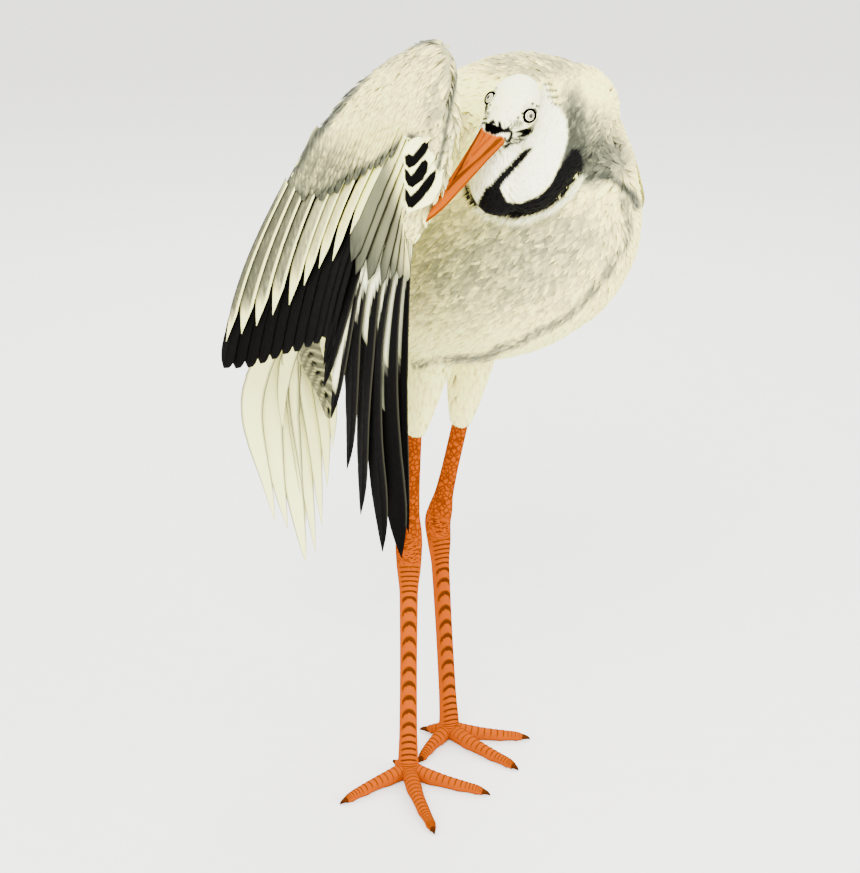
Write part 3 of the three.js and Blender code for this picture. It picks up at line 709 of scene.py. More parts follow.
def body_skin():
    pile = Pile()
    for stations, side, inset, *_ in BODY_PARTS.values():
        pile.add_tube(loft(stations, side, 60, 56, grow=-inset)[0])
    body = bpy.data.objects.new("body_skin", pile.mesh("body_skin"))
    bpy.context.scene.collection.objects.link(body)
    remesh = body.modifiers.new("remesh", "REMESH")
    remesh.mode = "VOXEL"
    remesh.voxel_size = 0.0026
    relax = body.modifiers.new("relax", "SMOOTH")
    relax.iterations = 6
    relax.factor = 0.5
    fused = bpy.data.meshes.new_from_object(body.evaluated_get(bpy.context.evaluated_depsgraph_get()))
    bpy.data.objects.remove(body)
    return fused


def read_values(collection, key, width, kind=float):
    values = np.zeros(len(collection) * width, kind)
    collection.foreach_get(key, values)
    return values.reshape(-1, width)


skin_mesh = body_skin()
count = len(skin_mesh.vertices)
skin_points = read_values(skin_mesh.vertices, "co", 3) * 1000 - SHIFT

EYE_TILT = {sign: unit(sign * 0.7 * HEAD_LEFT + 0.45 * HEAD_FORWARD + 0.55 * HEAD_UP) for sign in (1, -1)}
LID_REACH = 3.4
SOCKET_REACH = 1.6

# Round each eye the skin is drawn to a tilted plane, so that the ball and its lids stand clear of it.
for sign, tilt in EYE_TILT.items():
    away = skin_points - (eye_centre(sign) + tilt * SOCKET_REACH)
    height = away @ tilt
    aside = np.linalg.norm(away - height[:, None] * tilt, axis=1)
    pull = (1 - smooth(aside, 6.5, 12)) * (np.abs(height) < 8)
    skin_points -= (pull * height)[:, None] * tilt
skin_mesh.vertices.foreach_set("co", place(skin_points).astype(np.float32).ravel())
skin_mesh.update()
skin_normals = read_values(skin_mesh.vertices, "normal", 3)
skin_tree = BVHTree.FromPolygons([tuple(p) for p in skin_points], [tuple(f.vertices) for f in skin_mesh.polygons])


def nearest_part(points):
    """For each point: the part it belongs to, how far along it lies, its angle round it and its axis direction."""
    found = []
    for stations, side, *_ in BODY_PARTS.values():
        line, sizes = station_curves(stations)
        t = np.linspace(0, 1, 90)
        centres, size = line(t), sizes(t)
        direction = tangent(line, t)
        across, out = square_to(direction, side)
        rows = []
        for block in np.array_split(points, max(1, len(points) // 4000)):
            away = block[:, None] - centres[None]
            x = np.einsum("ijk,jk->ij", away, across) / size[:, 0]
            z = np.einsum("ijk,jk->ij", away, out) / size[:, 1]
            y = np.einsum("ijk,jk->ij", away, direction) / np.maximum(size[:, 0], 12)
            distance = np.sqrt(x**2 + z**2 + y**2)
            pick = distance.argmin(1)
            at = np.arange(len(block)), pick
            rows.append(np.column_stack([distance[at], t[pick], np.arctan2(x[at], z[at]), direction[pick]]))
        found.append(np.vstack(rows))
    found = np.array(found)
    part = found[..., 0].argmin(0)
    chosen = found[part, np.arange(len(points))]
    return part, chosen[:, 1], chosen[:, 2], chosen[:, 3:]


skin_part, skin_along, skin_angle, skin_axis = nearest_part(skin_points)
skin_names = PART_NAMES[skin_part]
left, low, wide, high = PART_CHART[skin_part].T
skin_bake = np.column_stack([
    left + wide * (0.02 + 0.94 * (skin_angle / (2 * math.pi) + 0.5)), low + high * (0.02 + 0.94 * skin_along),
])
skin_edges = read_values(skin_mesh.edges, "vertices", 2, int).T
degree = np.maximum(np.bincount(skin_edges.ravel(), minlength=count), 1)


def relax_over_skin(values, rounds):
    """Values of the skin's vertices, evened out with their neighbours' again and again."""
    a, b = skin_edges
    for _ in range(rounds):
        around = [np.bincount(a, v[b], count) + np.bincount(b, v[a], count) for v in np.atleast_2d(values.T)]
        values = 0.3 * values + (0.7 * np.array(around) / degree).reshape(values.T.shape).T
    return values


# The way the feathers lie and their length, smoothed over the skin.
lie = skin_axis * PART_LIE[skin_part][:, None]
lie[np.isin(skin_names, ARM_PARTS)] = unit(np.array(SECONDARY_TIPS[2], float) - np.array(SECONDARY_ROOTS[2], float))
lie = relax_over_skin(lie, 14)
lie = unit(lie - skin_normals * np.sum(lie * skin_normals, 1)[:, None])
shorter_at_neck = 9.0 * (skin_names == "torso") * smooth(skin_along, 0.1, 0.9)
skin_length = relax_over_skin(PART_LENGTH[skin_part] - shorter_at_neck, 10)


# ---- Markings of the small feathers, by their place on the bird ----

def spot(points, centre, radius, soft=0.5):
    """1 round a centre, in space or in the picture, fading out at the radius."""
    distance = np.linalg.norm((points - np.asarray(centre, float)) / np.asarray(radius, float), axis=-1)
    return 1 - smooth(distance, 1 - soft, 1 + soft)


def nearest_edge(uv, line):
    line = np.asarray(line, float)
    best = np.full(uv.shape[:-1], np.inf)
    for a, b in zip(line[:-1], line[1:]):
        t = np.clip(((uv - a) @ (b - a)) / ((b - a) @ (b - a)), 0, 1)
        best = np.minimum(best, np.linalg.norm(uv - a - t[..., None] * (b - a), axis=-1))
    return best


def stripe(uv, line, half, soft=1.2):
    return 1 - smooth(nearest_edge(uv, line), half - soft, half + soft)


def strokes(uv, lines):
    return np.max([stripe(uv, line, half, 0.7) for line, half in lines], 0)


def inside(uv, outline, soft=1.0):
    """1 inside a closed outline in the picture, 0 outside."""
    closed = np.vstack([outline, outline[:1]]).astype(float)
    x, y = uv[..., 0], uv[..., 1]
    odd = np.zeros(uv.shape[:-1], bool)
    for (ax, ay), (bx, by) in zip(closed[:-1], closed[1:]):
        if ay != by:
            odd ^= ((ay > y) != (by > y)) & (x < (bx - ax) * (y - ay) / (by - ay) + ax)
    return smooth(np.where(odd, 1, -1) * nearest_edge(uv, closed), -soft, soft)


def wobble(points, size):
    """Smooth noise from about -1 to 1 with features of the given size."""
    q = points / size
    a = np.sin(q @ (1.9, 1.1, -0.7) + 2.0 * np.sin(q @ (0.4, -1.3, 0.9)))
    b = np.sin(q @ (-0.8, 1.7, 1.5) + 2.0 * np.sin(q @ (1.1, 0.5, -1.2)))
    return (a + b) / 2


def toward(colour, target, amount):
    """A colour, or one for each place, moved toward another by a share, held to 0 to 1."""
    return colour + (target - colour) * np.clip(amount, 0, 1)[..., None]


# Outlines of the markings and of the painted shade, in the photograph's pixels. They are thrown onto the surface that
# faces them.
WHITE_NECK = [
    (496, 80), (505, 73), (527, 69), (540, 73), (548, 86), (553, 100), (561, 110), (567, 120), (568, 139),
    (563.5, 155),
    (559, 167), (551, 183), (538, 196), (519, 203), (507, 202), (500, 189), (494, 184), (487, 187),
    (478, 204), (473, 200),
    (469, 188), (467, 177), (466, 160), (466, 120), (474, 90),
]
BLACK_COLLAR = [
    (531.5, 147), (525, 150), (515, 159), (501, 173), (492, 184), (486, 188), (477, 205), (486, 213),
    (500, 217), (514, 219),
    (536, 214), (549, 208), (563, 197), (571, 185), (579, 175), (584, 166), (580, 150), (572, 148),
    (567, 157), (559, 168),
    (551, 184), (538, 197), (519, 204), (507, 202), (500, 189), (503, 183), (519, 165), (533, 149),
]
THROAT_CRESCENT = [(467, 177), (462, 185), (462, 192), (466, 201), (473, 207), (478, 206), (473, 197), (469, 188)]
COLLAR_FRINGE = [(476, 209), (486, 217), (500, 221), (514, 223), (537, 218), (552, 211), (567, 199),
    (576, 186), (582, 178)]
# A grey line of painted shade just inside the body's right and lower edge.
BODY_EDGE_SHADE = [
    (623, 201), (627, 214), (629, 231), (625, 244), (616, 258), (605, 276), (592, 292), (576, 308),
    (559, 322), (537, 332),
    (519, 342), (496, 350), (487, 357), (460, 359), (439, 361), (416, 365),
]
# The lower edge of the painted shade beside the nape, where the neck meets the body.
NAPE_SHADE_LOWER_EDGE = [(566, 165), (577, 177), (594, 177), (606, 176), (618, 184), (632, 195), (636, 206)]
# The face: black patches, black strokes with their half widths, and specks.
FACE_PATCHES = (
    [(490, 119), (489, 124), (488.5, 130), (491, 134.5), (495.5, 135), (501, 133), (508, 132.5), (510, 128.5),
     (508, 126.5),
     (505.5, 129.5), (502, 128), (500.5, 121.5), (498.2, 121.5), (498, 126.5), (495.5, 125), (494, 120)],
    [(514.5, 132), (522, 129.6), (527, 128.4), (534, 128), (532.5, 133), (527.5, 135.8), (522, 137.2),
     (516.5, 136.6),
     (521.5, 134.4), (522, 133)],
)
FACE_STROKES = (
    ([(506, 129.5), (511.5, 132), (511, 137), (508.5, 141), (510, 144), (504.5, 147.5)], 1.5),
    ([(512, 137.5), (516.5, 140), (521, 139)], 0.7), ([(512, 143.5), (518, 143), (523.5, 139.5)], 0.7),
    ([(505, 138), (506.5, 142)], 0.9),
)
FAR_STROKES = (
    ([(480, 105.5), (481, 110)], 1.0), ([(487, 106), (485, 110.5), (482.5, 112.5)], 1.0),
    ([(480.5, 113), (477.6, 117), (477.2, 122), (481, 127.5)], 1.7), ([(478, 119.3), (486.5, 118.8)], 0.9),
    ([(478, 123.4), (487, 122.8)], 0.9),
)
FAR_WINDOW = ((474, 103), (489, 130))
OLIVE_LORES = [(504, 125), (511, 121), (519, 120), (524, 122.5), (521, 128), (512, 129.5), (505, 128.5)]
BROW_SPECKS = [
    (518.2, 117.4), (522.4, 113.4), (524, 116.4), (527, 112), (529.7, 110.3), (532.6, 103.8), (536.6, 106),
    (539.6, 106.8),
    (535, 109.6), (538.6, 111),
]
BROW_STROKE = [(533, 109.4), (539.4, 114.4)]
NAPE_STROKES = (
    ([(547, 90.6), (556, 90.8)], 1.1), ([(549, 96.9), (558, 97.4)], 1.0), ([(552, 103), (560, 105.5)], 1.1),
    ([(545, 84.6), (552, 84.2)], 0.9),
)


def face_marks(uv):
    return np.maximum(np.max([inside(uv, patch, 0.8) for patch in FACE_PATCHES], 0), strokes(uv, FACE_STROKES))


def mottle_and_shade_amount(uv, facing):
    """How grey the body's feathers are on average, with painted shade beside the nape and along the body's right and
    lower edge.
    """
    amount = 0.14 + 0.55 * spot(uv, (480, 262), (95, 52), 0.8) + 0.22 * spot(uv, (565, 232), (50, 34), 0.8)
    amount = amount + 0.45 * spot(uv, (532, 64), (52, 14), 0.6)
    # Grey beside the nape: partly grey plumage, partly painted shade.
    amount = np.maximum(amount, 0.95 * spot(uv, (586, 146), (34, 36), 0.7))
    # A line of painted shade along the body's right and lower edge.
    amount = np.maximum(amount, 0.9 * stripe(uv, BODY_EDGE_SHADE, 4.5, 4.0))
    return mix(0.16, amount, facing)


def body_tint(points, names, facing, luck):
    """Plumage colour at points: cream mottled with grey, white on head and neck, with the black markings, and dark
    grey beside the nape that is partly plumage and partly painted shade.
    """
    uv = seen_at(points)
    on_neck = np.isin(names, ("head", "neck_lower", "neck_upper"))
    shown = np.where(on_neck, 1.0, facing)
    patches = 0.5 + 0.5 * wobble(points, 2.4)
    colour = toward(CREAM, GREY, mottle_and_shade_amount(uv, shown) * (0.15 + 0.65 * luck + 0.65 * patches))
    # Dark grey beside the nape and along its lower edge: partly grey plumage, partly painted shadow where the neck
    # meets the body.
    dark = 0.95 * spot(uv, (573, 136), (12, 38), 0.8) + 0.9 * stripe(uv, NAPE_SHADE_LOWER_EDGE, 3.5, 3.0)
    dark = dark + 0.65 * spot(uv, (592, 160), (30, 18), 0.8)
    colour = toward(colour, DARK_GREY, np.clip(dark * (0.5 + 0.6 * luck + 0.3 * patches), 0, 1) * shown)
    for target, amount in (
        (WHITE, inside(uv, WHITE_NECK, 1.5) * on_neck),
        (BLACK, face_marks(uv) * on_neck),
        (WHITE, 0.9 * stripe(uv, COLLAR_FRINGE, 3.0, 1.5) * shown),
        (DARK_GREY, 0.9 * strokes(uv, NAPE_STROKES) * on_neck),
        (BLACK, inside(uv, BLACK_COLLAR, 1.0) * shown),
        (BLACK, inside(uv, THROAT_CRESCENT, 1.0) * smooth(shown, 0, 0.3)),
    ):
        colour = toward(colour, target, amount)
    return colour


def to_near_side(points, left, border):
    """Points mirrored to the head's left side where they lie beyond a border on the other, far side."""
    return points + np.where(left < border, -2 * left, 0)[..., None] * HEAD_LEFT


def head_tint(points, names, facing, luck):
    """The head's colour: the marks of the side that shows, mirrored to the far side where that isn't seen."""
    left = (points - HEAD_AT) @ HEAD_LEFT
    uv = seen_at(points)
    mirrored = seen_at(to_near_side(points, left, -3))
    colour = toward(WHITE, GREY, 0.85 * inside(mirrored, OLIVE_LORES, 1.0) * smooth(wobble(points, 1.2), -0.4, 0.2))
    specks = np.max([1 - smooth(np.linalg.norm(mirrored - at, axis=-1), 0.9, 1.9) for at in BROW_SPECKS], 0)
    colour = toward(colour, DARK_GREY, np.maximum(0.85 * specks, 0.8 * stripe(mirrored, BROW_STROKE, 1.0, 0.8)))
    far_side = (left < -3) & np.all((uv > FAR_WINDOW[0]) & (uv < FAR_WINDOW[1]), -1)
    colour = toward(colour, BLACK, np.where(far_side, strokes(uv, FAR_STROKES), face_marks(mirrored)))
    return toward(colour, BLACK, inside(uv, BLACK_COLLAR, 1.0)) * np.asarray(1 - 0.04 * luck)[..., None]


# The wing's cap, from its dark lower-left to its cream top. Its grey lower-left and trailing edge are partly plumage
# and partly painted shade.
CAP_BORDER = [(286, 187), (298, 196), (315, 200), (335, 190), (358, 174), (377, 167), (397, 151), (412, 140)]
CAP_TRAILING_EDGE = [(284, 187), (300, 160), (322, 128), (345, 98), (370, 68), (400, 45), (432, 38)]
CAP_LEADING_EDGE = [(452, 50), (458, 62), (455, 85), (449, 112), (445, 136), (438, 168)]


def cap_tint(points, names, facing, luck):
    uv = seen_at(points)
    # The grey at the lower left and right of the alula is partly grey plumage and partly painted shade.
    grey = 0.22 + 0.75 * spot(uv, (308, 180), (46, 36), 0.8) + 0.25 * spot(uv, (440, 120), (16, 60), 0.8)
    grey = grey + 0.2 * spot(uv, (395, 50), (50, 14), 0.8)
    patches = 0.5 + 0.5 * wobble(points, 2.6)
    colour = toward(CREAM, GREY, np.clip(grey * (0.1 + 0.8 * luck + 0.7 * patches), 0, 1) * facing)
    border = stripe(uv, CAP_BORDER, 6.0, 4.0) * (0.5 + 0.6 * luck)
    # The dark band along the trailing edge is partly the edge's own dark line and partly painted shade.
    edge = stripe(uv, CAP_TRAILING_EDGE, 4.0, 3.5) * (0.6 + 0.5 * luck)
    edge = edge + 0.7 * stripe(uv, CAP_LEADING_EDGE, 1.5, 1.5)
    return toward(colour, DARK_GREY, np.clip(np.maximum(border, edge), 0, 1) * facing)


# ---- Small feathers over the skin ----

SAMPLE_CELL = 4.0


def crowded(taken, cell, point, reach):
    """Whether a root that is taken lies closer to a point than its reach."""
    span = int(math.ceil(reach / SAMPLE_CELL))
    for dx, dy, dz in product(range(-span, span + 1), repeat=3):
        for x, y, z in taken.get((cell[0] + dx, cell[1] + dy, cell[2] + dz), ()):
            if (x - point[0]) ** 2 + (y - point[1]) ** 2 + (z - point[2]) ** 2 < reach * reach:
                return True
    return False


def skin_samples(spacing_of):
    """Root points on the skin, no two closer than about the spacing there, and a vertex near each."""
    quads = np.array([(*p.vertices, p.vertices[0])[:4] for p in skin_mesh.polygons])
    a, b, c, d = (skin_points[quads[:, k]] for k in range(4))
    area = 0.5 * np.linalg.norm(np.cross(c - a, d - b), axis=1)
    spacing = spacing_of[quads].mean(1)
    wanted = area / spacing**2
    tries = rng.choice(len(quads), size=int(5.0 * np.sum(wanted)), p=wanted / np.sum(wanted))
    u, v = rng.random((len(tries), 2)).T[..., None]
    spots = (1 - u) * (1 - v) * a[tries] + u * (1 - v) * b[tries] + u * v * c[tries] + (1 - u) * v * d[tries]
    taken = {}
    keep = []
    for i, (point, reach) in enumerate(zip(spots, spacing[tries])):
        cell = tuple((point // SAMPLE_CELL).astype(int))
        if not crowded(taken, cell, point, reach):
            taken.setdefault(cell, []).append(tuple(point))
            keep.append(i)
    return spots[keep], quads[tries[keep], 0]


roots, root_vertex = skin_samples(relax_over_skin(PART_SPACING[skin_part], 6))
root_names = skin_names[root_vertex]
root_length = skin_length[root_vertex] * rng.uniform(0.85, 1.15, len(roots))
root_luck = rng.random(len(roots))
skin_facing = smooth(-(skin_normals @ VIEW_AHEAD), -0.25, 0.05)


def hug(points):
    """The nearest points of the skin and its normals there."""
    found = [skin_tree.find_nearest(point)[:2] for point in points]
    return np.array(found, float).transpose(1, 0, 2)


def small_feathers(pile, pick, rows, columns, width_share, lift, taper, colour_of):
    """Soft feathers that hug the skin along its lie and lift a little at their frayed tips."""
    length = root_length[pick]
    vertex = root_vertex[pick]
    n = len(pick)
    centre = np.zeros((n, rows, 3))
    out = np.zeros((n, rows, 3))
    ahead = unit(lie[vertex] + rng.normal(0, 0.09, (n, 3)))
    point, normal = hug(roots[pick])
    for row in range(rows):
        if row:
            ahead = unit(ahead - normal * np.sum(ahead * normal, 1)[:, None])
            point, normal = hug(point + ahead * (length / (rows - 1))[:, None])
        out[:, row] = normal
        centre[:, row] = point + normal * lift * (0.1 + 0.9 * (row / (rows - 1)) ** 0.8)
    out[:, 1:-1] = (out[:, :-2] + out[:, 1:-1] + out[:, 2:]) / 3
    along = unit(np.gradient(centre, axis=1))
    side = unit(np.cross(unit(out), along))
    out = np.cross(along, side)
    u = np.linspace(0, 1, rows)[None, :]
    shape = mix(0.4, 1, smooth(u, 0, 0.45)) * (1 - (1 - taper) * np.clip((u - 0.5) / 0.5, 0, 1) ** 2)
    half = (length * width_share / 2)[:, None] * shape * rng.uniform(0.85, 1.15, (n, 1))
    tip = (length * 0.16)[:, None, None] * np.clip((u - 0.4) / 0.6, 0, 1)[..., None] ** 2
    fray = along[:, :, None] * ((rng.uniform(-1, 1, (n, 1, len(columns))) - np.asarray(columns) ** 2) * tip)[..., None]

    def bake(index, along_v, across_v):
        return skin_bake[vertex[index]] + np.stack([0.0015 * across_v, -0.003 * along_v], -1)

    def tint(index, along_v, across_v, where):
        shade = 0.94 + 0.06 * along_v + 0.02 * (1 - np.abs(across_v))
        chosen = vertex[index]
        return colour_of(where, skin_names[chosen], skin_facing[chosen], root_luck[pick][index]) * shade[..., None]

    vanes(pile, centre, side, out, np.stack([half, half], -1), columns, tint, bake, camber=0.1, fray=fray)


naked = spot(roots, head_point(BILL_BASE + 8, 0, -6.5), (13, 13, 13), 0.1) > 0.5
for sign, tilt in EYE_TILT.items():
    naked |= np.linalg.norm(roots - eye_centre(sign) - tilt * SOCKET_REACH, axis=1) < 6.9
on_torso = ~naked & (root_names == "torso")
lean = roots[:, 2] + 0.35 * roots[:, 1]
below = lean < np.median(lean[on_torso])
# Kinds of small feather: rows, columns, width as a share of the length, lift, and width left at the tip.
BODY = (5, (-1, -0.5, 0, 0.5, 1), 0.42, 4.3, 0.45)
FLUFF = (5, (-1, -0.4, 0.4, 1), 0.36, 2.6, 0.35)
HAIR = (6, (-1, -0.33, 0.33, 1), 0.34, 3.0, 0.3)
DOWN = (6, (-1, -0.33, 0.33, 1), 0.55, 1.7, 0.4)

under = body_tint(skin_points, skin_names, skin_facing, 0.5)
for these, colour_of, luck in (
    (skin_names == "head", head_tint, 0.0),
    (np.isin(skin_names, ARM_PARTS), cap_tint, 0.5),
):
    under[these] = colour_of(skin_points[these], skin_names[these], skin_facing[these], luck)
add_piece("skin", skin_mesh, plumage_look,
          ("torso", "neck_lower", "neck_upper", "head", "thigh_right", "thigh_left"))
dress(skin_mesh, read_values(skin_mesh.loops, "vertex_index", 1, int)[:, 0], skin_bake * 40, skin_bake, under * 0.9)

for name, pick, form, colour_of, look in (
    ("back_feathers", on_torso & ~below, BODY, body_tint, plumage_look),
    ("belly_feathers", on_torso & below, BODY, body_tint, plumage_look),
    ("thigh_feathers", ~naked & np.char.startswith(root_names, "thigh"), FLUFF, body_tint, plumage_look),
    ("neck_feathers", ~naked & np.char.startswith(root_names, "neck"), HAIR, body_tint, face_look),
    ("head_feathers", ~naked & (root_names == "head"), DOWN, head_tint, face_look),
    ("arm_feathers", ~naked & np.isin(root_names, ARM_PARTS), BODY, cap_tint, plumage_look),
):
    pile = Pile()
    small_feathers(pile, np.nonzero(pick)[0], *form, colour_of)
    pile.piece(name, look, "wing_plumage" if name == "arm_feathers" else "white_plumage")


# ---- Flight feathers and coverts of the lifted right wing ----

VANE_COLUMNS = (-1, -0.72, -0.42, -0.14, 0, 0.14, 0.42, 0.72, 1)
SCALE_COLUMNS = (-1, -0.6, -0.2, 0.2, 0.6, 1)
# The longest primaries end a little nearer the bird's left than the solids' blades.
TIPS_ASIDE = (0, 0, 2, 4, 5, 7, 8, 8)
primary_tips = [np.array(tip, float) + aside * VIEW_RIGHT for tip, aside in zip(PRIMARY_TIPS, TIPS_ASIDE)]
arm_surface = fan(SECONDARY_ROOTS, SECONDARY_TIPS, 9.0, (-3.0, 0.0))
hand_surface = fan(PRIMARY_ROOTS, primary_tips, 6.0, (-3.0, -3.0))
# The last primary has a row of its own, from its neighbour's line to its own.
last_primary_surface = fan([(-232, -160, 630), PRIMARY_ROOTS[-1]],
                           [primary_tips[-1] - 13 * VIEW_RIGHT, primary_tips[-1]], 6.0, (-5.0, -5.0))

# Where the tiers end, as shares of the flight feathers' length, from the elbow (0) to the wrist (1).
CAP_END = ((0, 0.07, 0.25, 0.44, 0.59, 0.74, 0.95, 1), (0.05, 0.07, 0.2, 0.27, 0.26, 0.22, 0.2, 0.16))
GREATER_END = (
    (0, 0.113, 0.225, 0.348, 0.48, 0.575, 0.672, 0.807, 0.93),
    (0.84, 0.815, 0.795, 0.768, 0.75, 0.68, 0.62, 0.61, 0.5),
)
PRIMARY_COVERT_END = ((0, 0.05, 0.2, 0.35, 0.68, 1), (0.56, 0.55, 0.48, 0.4, 0.2, 0.14))
# Each primary: its place at the tip, how far that lies from its place at the root, its width, the share of the width
# that the leading web has, where the black starts as a point on that web, where the cream of the other web ends and
# how wide the part is that shows beside its neighbour.
PRIMARY_TABLE = np.array((
    (0.02, 0.02, 23, 0.42, 0.3, 0.35, 6), (0.13, 0.13, 24, 0.42, 0.45, 0.52, 7),
    (0.27, 0.27, 26, 0.4, 0.5, 0.9, 10.5), (0.42, 0.36, 28, 0.42, 0.49, 0.61, 11),
    (0.58, 0.32, 29, 0.42, 0.38, 0.56, 15), (0.75, 0.32, 29, 0.4, 0.27, 0.45, 13.2),
    (0.885, 0.2, 28, 0.34, 0.15, 0.56, 19.5), (1.0, 0.0, 17, 0.3, 0.09, 0.5, 11),
))
PRIMARY_COVERTS = 7


def near_edge(across, low=0.8, high=1):
    return smooth(np.abs(across), low, high)


def pale_tint(index, along, across, where):
    """Cream feather with a faintly grey shaft and edges."""
    colour = toward(CREAM, GREY, 0.28 * near_edge(across, 0.75) + 0.2 * (np.abs(across) < 0.05))
    return toward(colour, GREY, 0.12 + 0.15 * wobble(where, 5.0))


def dark_tint(index, along, across, where):
    """Black feather with a slightly browner edge."""
    return toward(BLACK, DARK_GREY, 0.1 * near_edge(across))


def greater_covert_tint(index, along, across, where):
    """Cream with a grey streak that is darkest on the feathers nearest the elbow."""
    strength = np.interp(index, (0, 1, 2, 3, 4, 6, 8), (1.0, 1.0, 0.9, 0.75, 0.45, 0.25, 0.1))
    streak = (1 - smooth(across, 0.4, 0.8)) * (1 - smooth(along, 0.74, 0.92)) * smooth(along, -0.1, 0.2)
    patches = 0.85 + 0.3 * wobble(where, 3.0)
    colour = toward(PALE, GREY * 0.84, streak * strength * patches * 1.25)
    fade = 1 - smooth(along, 0.75, 0.95)
    colour = toward(colour, DARK_GREY, smooth(-across, 0.2, 1.0) * strength**2 * 0.9 * fade)
    return toward(colour, DARK_GREY, 0.55 * smooth(-across, 0.86, 1) * (index > 0) * (1 - smooth(along, 0.85, 1)))


def median_tint(index, along, across, where):
    return cap_tint(where, None, 1.0, 0.5 + 0.5 * wobble(where, 4.0))


def primary_tint(index, along, across, where):
    """A black wedge that widens from a point on the leading web, beside cream that tapers out below it."""
    _, _, width, lead, start, end, shown = PRIMARY_TABLE.T[:, index]
    reach = np.clip((along - start) / (end - start), 0, 1)
    from_shaft = across * np.where(across < 0, 1 - lead, lead) * width
    border = width * lead - shown * (1 - np.interp(reach, (0, 0.1, 0.3, 0.65, 1), (1, 0.5, 0.25, 0.14, 0)))
    cream = (1 - smooth(from_shaft, border - 0.6, border + 0.6)) * (1 - smooth(along, end - 0.02, end))
    cream = np.maximum(cream, 1 - smooth(along, start - 0.02, start))
    rim = 0.55 * smooth(across, 0.93, 0.99) * (1 - cream) * (along < 0.9)
    return toward(toward(BLACK, SLIT_CREAM, cream), GREY, rim)


def primary_covert_tint(index, along, across, where):
    """Grey below a cream root, darker toward the point, with a black line on the leading edge."""
    t = index / (PRIMARY_COVERTS - 1)
    colour = toward(PALE, GREY, smooth(along, 0.12, 0.42) * np.interp(t, (0, 0.5, 1), (1.0, 0.95, 0.3)))
    dark = smooth(along, 0.62, 0.98) * np.interp(t, (0, 0.6, 1),
    (1, 0.9, 0.4)) * (0.75 + 0.3 * wobble(where, 2.5))
    line = smooth(across, 0.8, 0.95) * smooth(along, 0.15, 0.3) * np.interp(t, (0, 0.7, 1), (1, 0.9, 0.5))
    return toward(toward(colour, DARK_GREY, dark), BLACK, line * 0.85)


def alula_tint(index, along, across, where):
    """Black inside the three outlines of the picture, pale round them."""
    uv = seen_at(where)
    return toward(PALE, BLACK, np.max([inside(uv, outline, 0.5) for *_, outline in ALULA], 0))


flight = dict(thick=0.5, ridge=0.5, camber=0.02, notch=0.06)
covert = dict(thick=0.4, ridge=0.3, camber=0.03, notch=0.08)
pale_scales = dict(sharp=2.0, tint=pale_tint, **covert)

wing = Pile()
t = np.linspace(0, 1, 11)
row_of_vanes(wing, arm_surface, t, 40, VANE_COLUMNS, first=np.interp(t, (0.75, 1), (0.0, 0.5)),
             width=np.where(t == 0, 22, 32), lead=np.where(t == 0, 0.6, 0.36), tilt=0.13, point=0.1, sharp=1.8,
             blunt=0.6, tint=dark_tint, **flight)
t, ends = np.array(GREATER_END)
row_of_vanes(wing, arm_surface, t, 48, VANE_COLUMNS, last=ends, lift=5.5, end_lift=3.5, width=np.where(t == 0, 12, 24),
             lead=np.where(t == 0, 0.6, 0.32), tilt=0.13, point=0.2, sharp=1.1, blunt=1.0, narrow=1.0, ragged=0.0,
             tint=greater_covert_tint, **flight)
for surface, first, last, lift in ((hand_surface, 0, 7, 0), (last_primary_surface, 7, 8, -1.5)):
    t, drift, width, lead, *_ = PRIMARY_TABLE[first:last].T
    row_of_vanes(wing, surface, t, 44, VANE_COLUMNS, width=width, lead=lead, drift=drift, tilt=0.2, point=0.36,
                 sharp=1.8, blunt=0.85, narrow=0.55, ragged=0.0, lift=lift, thick=0.5, ridge=0.5, camber=0.02,
                 notch=0.05, tint=lambda index, *places: primary_tint(index + first, *places))
t = np.linspace(0, 0.92, PRIMARY_COVERTS)
row_of_vanes(wing, hand_surface, t, 18, VANE_COLUMNS, first=0.02, last=np.interp(t, *PRIMARY_COVERT_END), lift=5.5,
             end_lift=4, width=np.interp(t, (0, 0.7, 0.92),
             (20, 18, 8)), lead=0.36, tilt=0.2, point=0.13, sharp=1.2,
             blunt=0.9, narrow=0.6, tint=primary_covert_tint, thick=0.5, ridge=0.5, camber=0.02, notch=0.15)

# Five tiers of small coverts carry the cap down from the arm to its dark border.
for tier in range(5):
    t = np.linspace(0.04, 1, 17 + 3 * tier)
    end = np.interp(t, *CAP_END) - 0.042 * tier
    rise = smooth(t, -0.05, 0.2) * (6.5 + 1.3 * tier)
    row_of_vanes(wing, arm_surface, t, 9, SCALE_COLUMNS, first=end - 0.12, last=end, lift=rise + 1.0, end_lift=rise,
                 width=22 - 2 * tier, lead=0.45, tilt=0.1, point=0.5, sharp=2.4, ragged=0.06, tint=median_tint,
                 **covert)
    # The lining of the wing, seen from the bird's own side.
    end = 0.52 - 0.1 * tier
    row_of_vanes(wing, arm_surface, t, 9, SCALE_COLUMNS, first=end - 0.26, last=end, lift=-4.0 - 1.2 * tier,
                 end_lift=-2.6 - 1.2 * tier, width=24 - 2 * tier, lead=0.45, tilt=0.1, point=0.4, ragged=0.05,
                 **pale_scales)
for tier, end in enumerate((0.36, 0.24, 0.13)):
    row_of_vanes(wing, hand_surface, np.linspace(0.02, 0.35, 5), 9, SCALE_COLUMNS, first=end - 0.2, last=end,
                 lift=-3.5 - 1.2 * tier, end_lift=-2.4 - 1.2 * tier, width=15 - tier, lead=0.45, tilt=0.1, point=0.4,
                 ragged=0.05, **pale_scales)
wing.piece("wing_right_feathers", flight_look, "wing_plumage", ("wing_right",))

